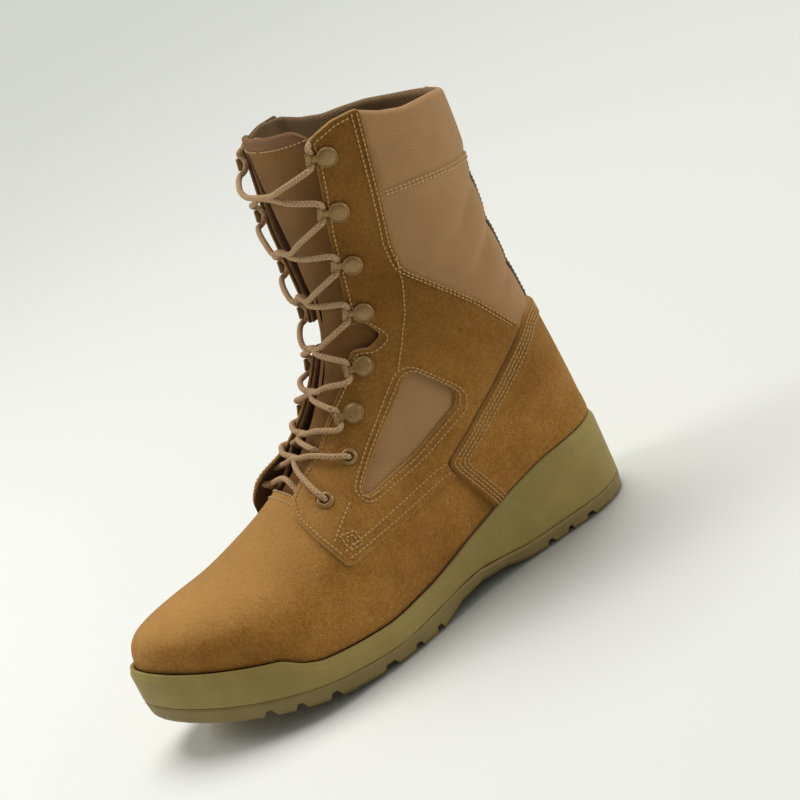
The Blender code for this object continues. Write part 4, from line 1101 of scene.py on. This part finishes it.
def stitching(name, paths, height, finish, material=THREAD, sides=(1, -1)):
    """One object with the stitches of flat paths; height(t, r, side, points) seats them."""
    stop, lift, thick = np.array(STITCH_RINGS).T
    turn = TURN * np.arange(STITCH_SIDES)[:, None] / STITCH_SIDES
    faces = loft(len(STITCH_RINGS), STITCH_SIDES, -1)
    stitches = []
    for path, side in itertools.product(paths, sides):
        t, r = unflat(path)
        base = boot_point(t, r, side)
        normal = form_normal(t, r, side)
        line = moved_out(base, normal, height(t, r, side, base))
        run = run_along(line)
        at = (np.arange(int(run[-1] / STITCH))[:, None] + 0.5) * STITCH + stop * STITCH_HALF
        centre = read_at(at, run, line)
        out = read_at(at, run, normal)
        across = np.cross(out, unit(centre[:, -1:] - centre[:, :1]))
        centre = centre + out * lift[:, None]
        ring = np.cos(turn) * across[:, :, None] + np.sin(turn) * out[:, :, None]
        points = centre[:, :, None] + ring * thick[:, None, None] * THREAD_RADIUS
        stitches += [(stitch.reshape(-1, 3), faces) for stitch in points]
    mesh_piece(name, *joined(stitches), (material,), finish, weld=0)


def inward(path, by, loop, inner=True):
    """The path moved to the side that lies inside (or outside) a flat outline."""
    across = sideways(np.gradient(path, axis=0)) * by
    moved = path + across
    if (inside(moved, loop).mean() > 0.5) != inner:
        moved = path - across
    return moved[nearest(moved, path) > by - ROW_NEAR]


def softened(path, reach):
    """A flat path with its bends eased over so many points each way."""
    padded = np.concatenate([path[:1]] * reach + [path] + [path[-1:]] * reach)
    box = np.ones(2 * reach + 1) / (2 * reach + 1)
    return np.stack([np.convolve(padded[:, k], box, "valid") for k in range(2)], axis=-1)


def level_line(patch, height):
    """The longest line over a patch where a height is zero, as points of the flat map."""
    links = {}
    for face in patch.faces[np.abs(np.diff(height[patch.faces] > 0, axis=1)).any(axis=1)]:
        sides = zip(face, np.roll(face, -1))
        cut = [(min(a, b), max(a, b)) for a, b in sides if (height[a] > 0) != (height[b] > 0)]
        for one, other in (cut, cut[::-1]):
            links.setdefault(one, []).append(other)
    longest = []
    for start in [key for key, near in links.items() if len(near) == 1]:
        line = [start, links[start][0]]
        while len(links[line[-1]]) > 1:
            line.append(next(key for key in links[line[-1]] if key != line[-2]))
        longest = max(longest, line, key=len)
    a, b = np.array(longest).T
    share = (height[a] / (height[a] - height[b]))[:, None]
    return resample(patch.plane[a] * (1 - share) + patch.plane[b] * share, FINE, closed=False)


def crop(path, start, end):
    """The path without its first and last millimetres."""
    run = run_along(path)
    return path[(run > start) & (run < run[-1] - end)]


def to_crest(path):
    return path[path[:, 1] < CREST - CREST_CLEAR]


def over_folds(height):
    """A seat for stitches at a height over the creased and padded form."""
    return lambda t, r, side, points: height + COLLAR_PROUD * pad(t, r) + folds(points, side)


def stitch_quarters():
    loop = to_flat(quarter_outline())
    counter = to_flat(counter_outline())
    front = crop(flat_path(QUARTER_EDGE + QUARTER_FRONT[:2]), 6, 4)
    cloth = crop(flat_path(FABRIC_EDGE + (QUARTER_EDGE[0],)), 0.5, 2)
    foot = crop(flat_path(QUARTER_FRONT[1:] + (FOOT_ON,)), 3, 0)
    window = to_flat(rounded_outline(WINDOW), FINE)
    window = np.concatenate([window, window[:OVERLAP]])
    paths = [inward(front, FRONT_ROW, loop), flat_path(FACING_BACK), flat_path(FACING_FOOT)]
    rows = [inward(foot, by, loop) for by in FOOT_ROWS]
    paths += [row[~inside(row, counter)] for row in rows]
    paths += [inward(cloth, by, loop) for by in CLOTH_ROWS]
    paths += [inward(window, by, window, inner=False) for by in WINDOW_ROWS]
    paths += [flat_path(row) for row in BAR_TACK]
    for word, side in SIDES:
        stitching("stitches_quarter_" + word, paths,
                  lambda *spot: quarter_seat(*spot) + LEATHER - QUARTER_SUNK, "suede", sides=(side,))


def stitch_rest():
    foot = (COUNTER_FOOT, float(lip_z(LENGTH / 2 - COUNTER_FOOT)) + BAND_START, 0)
    edge = flat_path((foot,) + COUNTER_EDGE + ((COUNTER_BACK, COUNTER_TOP, 0),))
    patch = Patch(counter_outline())
    away = nearest(boot_point(patch.t, patch.r, 1), boot_point(*unflat(edge), 1))
    rows = [softened(level_line(patch, away - by), BAND_SOFT) for by in BAND_ROWS]
    stitching("stitches_counter", rows, lambda *_: COUNTER_HIGH + BAND_OFF, "suede")
    throat = to_crest(flat_path(THROAT))
    rows = [inward(throat, by, to_flat(wall_outline())) for by in THROAT_ROWS]
    stitching("stitches_throat", rows, over_folds(-THREAD_SUNK), "suede", SEAM_THREAD)
    rows = [inward(flat_path(SHAFT_PANEL[1:6]), by, to_flat(SHAFT_PANEL)) for by in COLLAR_ROWS]
    stitching("stitches_collar", rows, over_folds(PANEL_HIGH), "shaft_fabric", SEAM_THREAD)


# ---- hooks and eyelets
# radius and height
STUD = ((0.0, 2.3), (1.6, 2.25), (3.0, 2.08), (4.0, 1.8), (4.35, 1.5), (4.6, 1.34), (4.9, 1.5),
        (5.25, 1.58), (5.55, 1.3), (5.68, 0.7), (5.5, 0.0), (0.0, 0.0))
EYELET_RING = ((2.45, -2.2), (2.35, 0.4), (2.5, 1.25), (2.95, 1.7), (3.5, 1.72), (4.2, 1.4), (4.75, 0.8),
               (4.8, 0.35), (4.3, 0.2), (2.9, 0.3), (2.9, -2.2), (2.45, -2.2))
TAB = ((-3.0, 3.0), (3.6, 3.0), (5.6, 1.8), (9.0, 1.6), (9.0, 3.5), (11.4, 3.5))
TAB_ROUND = 0.7
TAB_SPINE = (-2.0, 10.2)             # the tab's rounded edges lean towards this line
TAB_RINGS = ((0.25, 0.15), (0.0, 0.37), (0.0, 0.98), (0.25, 1.2))     # inset and height
TAB_BEND = ((-3.0, 5.0, 8.6, 11.6), (0.0, 0.0, 0.2, 1.3))             # x along the tab, rise
SHARP = math.radians(50)


def turned(profile, sides):
    """The points and faces of a profile turned about z."""
    radius, z = np.array(profile)[:, :, None].transpose(1, 0, 2)
    turns = TURN * np.arange(sides) / sides
    points = np.stack([radius * np.cos(turns), radius * np.sin(turns), z + 0 * turns], axis=-1)
    return points.reshape(-1, 3), loft(len(profile), sides)


def tab_mesh():
    """The flat tab with its T end bent up a little, as a plate with rounded edges."""
    mirrored = [(x, -y) for x, y in TAB[::-1]]
    outline = rounded_outline([(*corner, TAB_ROUND) for corner in (*TAB, *mirrored)], steps=3)
    outline = resample(outline, 0.8)
    toward = unit(np.clip(outline, (TAB_SPINE[0], 0), (TAB_SPINE[1], 0)) - outline)
    points = []
    for inset, height in TAB_RINGS:
        ring = outline + toward * inset
        points += [*np.column_stack([ring, height + np.interp(ring[:, 0], *TAB_BEND)])]
    return np.array(points), loft(len(TAB_RINGS), len(outline), -1)


def build_hardware():
    kinds = (("hook", HOOKS, HOOK_SEAT, joined((turned(STUD, 40), tab_mesh()))),
             ("eyelet", EYELETS, LEATHER + GAP, turned(EYELET_RING, 32)))
    for word, side in SIDES:
        for kind, spots, height, (points, faces) in kinds:
            for k, spot in enumerate(spots):
                node = "%s_%s_%d" % (kind, word, k + 1)
                seated = placed(points, leather_seat(*spot, side, height))
                piece = mesh_piece(node + "_metal", seated, faces, (HARDWARE,), "hardware", (node,),
                                   weld=0.01)
                piece.data.set_sharp_from_angle(angle=SHARP)


# ---- the one lace
# rows in a hook's or an eyelet's own seat: x along the tab, y across it, z outward
HOOK_END = (10.9, 6.0, 2.3)
HOOK_TURN = ((8.9, 4.7, 1.0), (8.3, 2.6, -0.9), (8.1, 0.0, -1.85))
UNDER_EDGE = (((16.5, 12.9, -3.0), (12.4, 9.7, -6.3), (6.5, 5.2, -6.9), (1.8, 1.2, -5.2), (0.0, 0.0, -1.2)),
              ((12.6, 16.6, -3.2), (9.2, 12.8, -6.3), (4.8, 7.2, -6.9), (1.4, 1.8, -5.2), (0.0, 0.0, -1.2)))
UNDER_FLAP = (((12.5, 8.0, -5.8), (9.0, 6.0, -6.6), (5.0, 3.6, -6.6), (1.6, 0.8, -4.8), (0.0, 0.0, -1.2)),
              ((15.5, 9.0, -5.4), (11.0, 7.0, -6.6), (5.8, 4.0, -6.6), (1.6, 0.8, -4.8), (0.0, 0.0, -1.2)))
OVER_HOLE = (((7.0, 2.6, 2.8), (2.4, 0.9, 2.9), (0.2, 0.0, 1.3)),
             ((2.6, 7.0, 2.8), (1.0, 2.6, 2.9), (0.1, 0.3, 1.3)))
BAR_ROUTE = ((12.8, -28.8, 96.4), (9.6, -29.2, 97.9), (6.6, -29.1, 100.6), (3.2, -28.9, 103.2),
             (-1.5, -28.7, 104.6), (-6.5, -28.8, 104.4), (-12.5, -29.6, 102.8), (-18.0, -31.2, 101.2))
TUCK = ((9.4, 5.4, 0.6), (7.6, 8.2, -3.2), (4.2, 9.6, -6.8), (0.5, 10.2, -7.3))
SLACK = {1: 0.8, -1: 0.6}    # how far the strands stand off the form halfway
ROUTE_STEP = 0.6             # nearer points of the route are dropped
CORD_STEP = 0.6
CORD_SIDES = 14
BRAIDS = 4                   # diagonals round the cord
BRAID_TURN = 2.4             # millimetres along the cord for one diagonal
BRAID_SWELL = 0.055


def stand(number, side, rows, rising):
    """Points of rows in the seat of one hook or eyelet, on its rising or falling side."""
    height = HOOK_SEAT if number < len(HOOKS) else LEATHER + GAP
    seat = leather_seat(*(HOOKS + EYELETS)[number], side, height)
    return [*placed(np.array(rows) * (1, -side * rising, 1), seat)]


def half_strand(start, side, rising, middle):
    """From a strand's end to its middle on x = 0: straight to a far stand, else over the leather."""
    if side < 0 < rising:
        straight = np.array((0.0, *middle)) - start
        return [start] + [start + straight * q for q in STRAND_STOPS]
    t, r = locate(*start[1:])
    height = (start - boot_point(t, r, side)) @ boot_normal(t, r, side)
    t_middle, r_middle = locate(*middle)
    lift = math.dist(boot_point(t_middle, 1.0, side)[1:], middle) * (1 if r_middle > 1 else -1)
    points = [start]
    for q in STRAND_STOPS:
        near = 1 - (1 - q) ** 2
        t_here = t + (t_middle - t) * near
        r_here = r + (1 - r) * near
        spot = boot_point(t_here, r_here, side)
        h_here = height + (lift - height) * q ** STRAND_SETTLE + SLACK[side] * (1 - q)
        if side < 0:
            h_here += (flare(spot[1], r_here) - flare(start[1], r)) * (1 - near ** 2)
        points.append(spot + boot_normal(t_here, r_here, side) * h_here)
    return points


def passes(number, side, rising):
    """The points that a strand follows from its crossing into a hook or an eyelet."""
    eyelet = number - len(HOOKS)
    if eyelet < 0:
        return stand(number, side, (HOOK_END,) + HOOK_TURN, rising)
    if (eyelet == 0) == (rising > 0):
        return stand(number, side, (UNDER_EDGE if side > 0 else UNDER_FLAP)[eyelet], 1)
    return stand(number, side, OVER_HOLE[eyelet], 1)


def span(start, end, middle, over):
    """From one stand, over the middle, to the other: each is (number, side, rising)."""
    out = passes(*start)[::-1]
    back = passes(*end)
    hump = np.array((0.0, middle[0] - over, middle[1] + over * 0.5))
    onward = half_strand(out[-1], *start[1:], middle)[1:]
    return out + onward + [hump] + half_strand(back[0], *end[1:], middle)[:0:-1] + back


def lace_route():
    """The whole run: down from the outer top hook, across at the lowest eyelets, and back up."""
    route = stand(0, 1, TUCK[::-1] + HOOK_TURN[1:2], 1)
    side = 1
    last = len(CROSSINGS)
    for k in range(last):
        route += span((k, side, -1), (k + 1, -side, 1), CROSSINGS[k], LACE_OVER * side)
        side = -side
    bar = [np.array(point) for point in BAR_ROUTE[::side]]
    route += passes(last, side, -1)[:0:-1] + bar + passes(last, -side, -1)[1:]
    side = -side
    for k in reversed(range(last)):
        route += span((k + 1, side, 1), (k, -side, -1), CROSSINGS[k], -LACE_OVER * side)
        side = -side
    route += stand(0, side, HOOK_TURN[1:2] + TUCK, 1)
    kept = route[:1]
    for point in route[1:]:
        if math.dist(point, kept[-1]) > ROUTE_STEP:
            kept.append(point)
    return kept


def spline(points, step):
    """A centripetal Catmull-Rom line through points, sampled about every step."""
    ends = np.array([2 * points[0] - points[1], *points, 2 * points[-1] - points[-2]])
    out = []
    for k in range(len(points) - 1):
        p = ends[k:k + 4]
        knots = np.concatenate(([0], np.cumsum(np.sqrt(np.linalg.norm(np.diff(p, axis=0), axis=1)))))
        count = max(2, int(math.dist(p[2], p[1]) / step))
        u = np.linspace(knots[1], knots[2], count, endpoint=False)[:, None]
        for spans in (((0, 1), (1, 2), (2, 3)), ((0, 2), (1, 3)), ((1, 2),)):
            shares = [(u - knots[i]) / (knots[j] - knots[i]) for i, j in spans]
            p = [a * (1 - q) + b * q for a, b, q in zip(p, p[1:], shares)]
        out += [*p[0]]
    return np.array(out + [points[-1]])


def build_lace():
    """A braided tube along the route: its surface swells along both diagonals."""
    line = spline(lace_route(), FINE)
    run = run_along(line)
    samples = np.linspace(0, run[-1], int(run[-1] / CORD_STEP))
    line = read_at(samples, run, line)
    round_cord = np.arange(CORD_SIDES + 1) / CORD_SIDES
    angle = TURN * round_cord[:, None]
    across = np.array((0.0, 0.0, 1.0))
    points = []
    for point, ahead, long in zip(line, unit(np.gradient(line, axis=0)), samples / BRAID_TURN):
        across = unit(across - ahead * (across @ ahead))
        out = np.cos(angle) * across + np.sin(angle) * np.cross(ahead, across)
        weave = np.maximum(*(np.sin(BRAIDS * angle + TURN * way) for way in (long, -long)))
        points += [*(point + LACE / 2 * (1 - BRAID_SWELL + BRAID_SWELL * weave) * out)]
    uvs = np.stack(np.meshgrid(BRAIDS * round_cord, samples / BRAID_TURN)[::-1], axis=-1).reshape(-1, 2)
    stands_for = ["lace_cross_%d" % (k + 1) for k in range(len(CROSSINGS))] + ["lace_bar"]
    mesh_piece("lace", points, loft(len(line), CORD_SIDES + 1, -1), (CORD,), "lace", stands_for, uvs=uvs,
               weld=0.001)


# ---- tongue, backstay and tabs
BINDING_WIDE = 8.5
BINDING_LOWEST = 256     # the tongue's rim is bound above this height
BINDING_OVER = 0.6       # thickness on the tongue's front and back
BINDING_UNDER = 0.4
BINDING_STEP = 0.3
BINDING_ROW = 1.6        # its row of stitches from its lower edge, and the row's pull
BINDING_PULL = (0.7, 0.35)
TONGUE_CALM = 8          # the creases fade out this near the tongue's edge
TONGUE_ROUND = 1.6
# as FOLDS
TONGUE_FOLDS = ((0, 49.0, 255.0, 36.0, 205.0, 5.0, -0.8),
                (0, 33.0, 236.0, 24.0, 200.0, 4.0, 0.7),
                (1, 40.0, 190.0, 20.0, 168.0, 4.0, -1.0),
                (1, 34.0, 172.0, 12.0, 152.0, 3.5, 0.9),
                (1, 30.0, 158.0, 4.0, 134.0, 4.0, -1.0),
                (1, 16.0, 140.0, -6.0, 120.0, 3.5, 0.9))
TONGUE_ROW = ((20.0, 268.9), (51.0, 268.0))
STRIP_ENDS = ((137.9, 126.0), (145.0, 213.0))
STRIP_TOP = 2.9          # the webbing's ribs stand this far off the shaft
STRIP_ROW = 1.8          # its stitches from its edge, and from its ends, in t
STRIP_ROW_END = 0.004
WEBBING_ROUND = 0.9
WEBBING_EDGE = 0.15      # share of its thickness left at the edge
BACK_SEARCHED = 0.3      # in r
#         name, its ends, half width, lowest and highest face, points across a half
TABS = (("backstay_tail", ((138.5, 125.8), (139.5, 133.0)), 5.0, STRIP_TOP + 0.1, STRIP_TOP + 1.0, 7),
        ("collar_tab", ((142.0, 213.5), (142.0, 221.0)), 8.0, COLLAR_PROUD + 0.1, COLLAR_PROUD + 1.1, 9))


def build_tongue():
    patch = Patch(rounded_outline(TONGUE), spacing=1.7, rows=(0.5, 1.2, 2.0))
    face = -WALL - TONGUE_CLEAR
    half = TONGUE_THICK / 2
    rim = patch.free_edge[patch.free_edge[:, 2] > BINDING_LOWEST]
    from_rim = nearest(boot_point(patch.t, patch.r, 1), rim)
    band = 1 / (1 + np.exp((from_rim - BINDING_WIDE) / BINDING_STEP))

    def over(patch, side, base):
        soft = folds(base, side, TONGUE_FOLDS) * np.clip(patch.edge / TONGUE_CALM, 0, 1)
        pressed = groove(from_rim, BINDING_WIDE - BINDING_ROW, *BINDING_PULL)
        thick = (half + BINDING_OVER * band + pressed) * dome(patch.edge, TONGUE_ROUND)
        return face - half + thick + soft

    def under(*_):
        return face - half - (half + BINDING_UNDER * band) * dome(patch.edge, TONGUE_ROUND)

    panel("tongue_cloth", patch, (1, -1), (over, under), (TONGUE_CLOTH, BINDING, LINING), "shaft_fabric",
          ("tongue",), lambda *_: from_rim[patch.faces].mean(axis=1) < BINDING_WIDE)
    stitching("stitches_tongue", [to_crest(flat_path(TONGUE_ROW))], lambda *_: face + 0.5, "shaft_fabric")


def back_place(t, reach):
    """r where the back of a section is so far from its middle."""
    fine = np.linspace(0, BACK_SEARCHED, 61)
    return np.interp(reach, boot_point(t, fine, 1)[:, 0], fine)


def webbing(name, ends, half_width, low, high, across, rows=9, stands_for=()):
    """A strip up the back of the boot between two heights over the form, with round edges."""
    stops = np.linspace(*ends, rows)
    reach = np.linspace(0, half_width, across)
    t = np.repeat(stops, across)
    r = np.concatenate([back_place(stop, reach) for stop in stops])
    from_edge = np.tile(reach[::-1], rows)
    from_end = np.repeat(np.minimum(np.arange(rows), np.arange(rows)[::-1]), across)
    rounding = np.minimum(dome(from_edge, WEBBING_ROUND), dome(from_end, 1.0))
    thick = (high - low) / 2 * (WEBBING_EDGE + (1 - WEBBING_EDGE) * rounding)
    sheets = {}
    for side, face in ((1, 1), (1, -1), (-1, 1), (-1, -1)):
        base = boot_point(t, r, side)
        height = (low + high) / 2 + face * thick + folds(base, side)
        sheets[side, face] = moved_out(base, form_normal(t, r, side), height).reshape(rows, across, 3)
    rings = [sheets[-1, 1][:, :0:-1], sheets[1, 1], sheets[1, -1][:, ::-1], sheets[-1, -1][:, 1:]]
    wide = np.linspace(-half_width, half_width, 2 * across - 1)
    uvs = np.stack(np.meshgrid([*wide, *wide[::-1]], stops * FAN), axis=-1).reshape(-1, 2) * MM
    points = np.concatenate(rings, axis=1).reshape(-1, 3)
    mesh_piece(name, points, loft(rows, 2 * len(wide), -1), (WEBBING,), "webbing", stands_for, uvs=uvs)


def build_backstay():
    low, high = (fan_place(spot) for spot in STRIP_ENDS)
    webbing("backstay_webbing", (low, high), STRIP_HALF, GAP, STRIP_TOP, 13, int((high - low) * FAN),
            ("backstay",))
    for name, ends, *sizes in TABS:
        webbing(name, [fan_place(spot) for spot in ends], *sizes)
    stops = np.linspace(low + STRIP_ROW_END, high - STRIP_ROW_END, 200)
    path = np.array([flat(t, back_place(t, STRIP_HALF - STRIP_ROW)) for t in stops])
    stitching("stitches_backstay", [path], over_folds(STRIP_TOP - 0.1), "webbing")


build_camera()
build_studio()
build_sole()
build_upper()
build_tongue()
build_backstay()
build_hardware()
build_lace()
stitch_quarters()
stitch_rest()
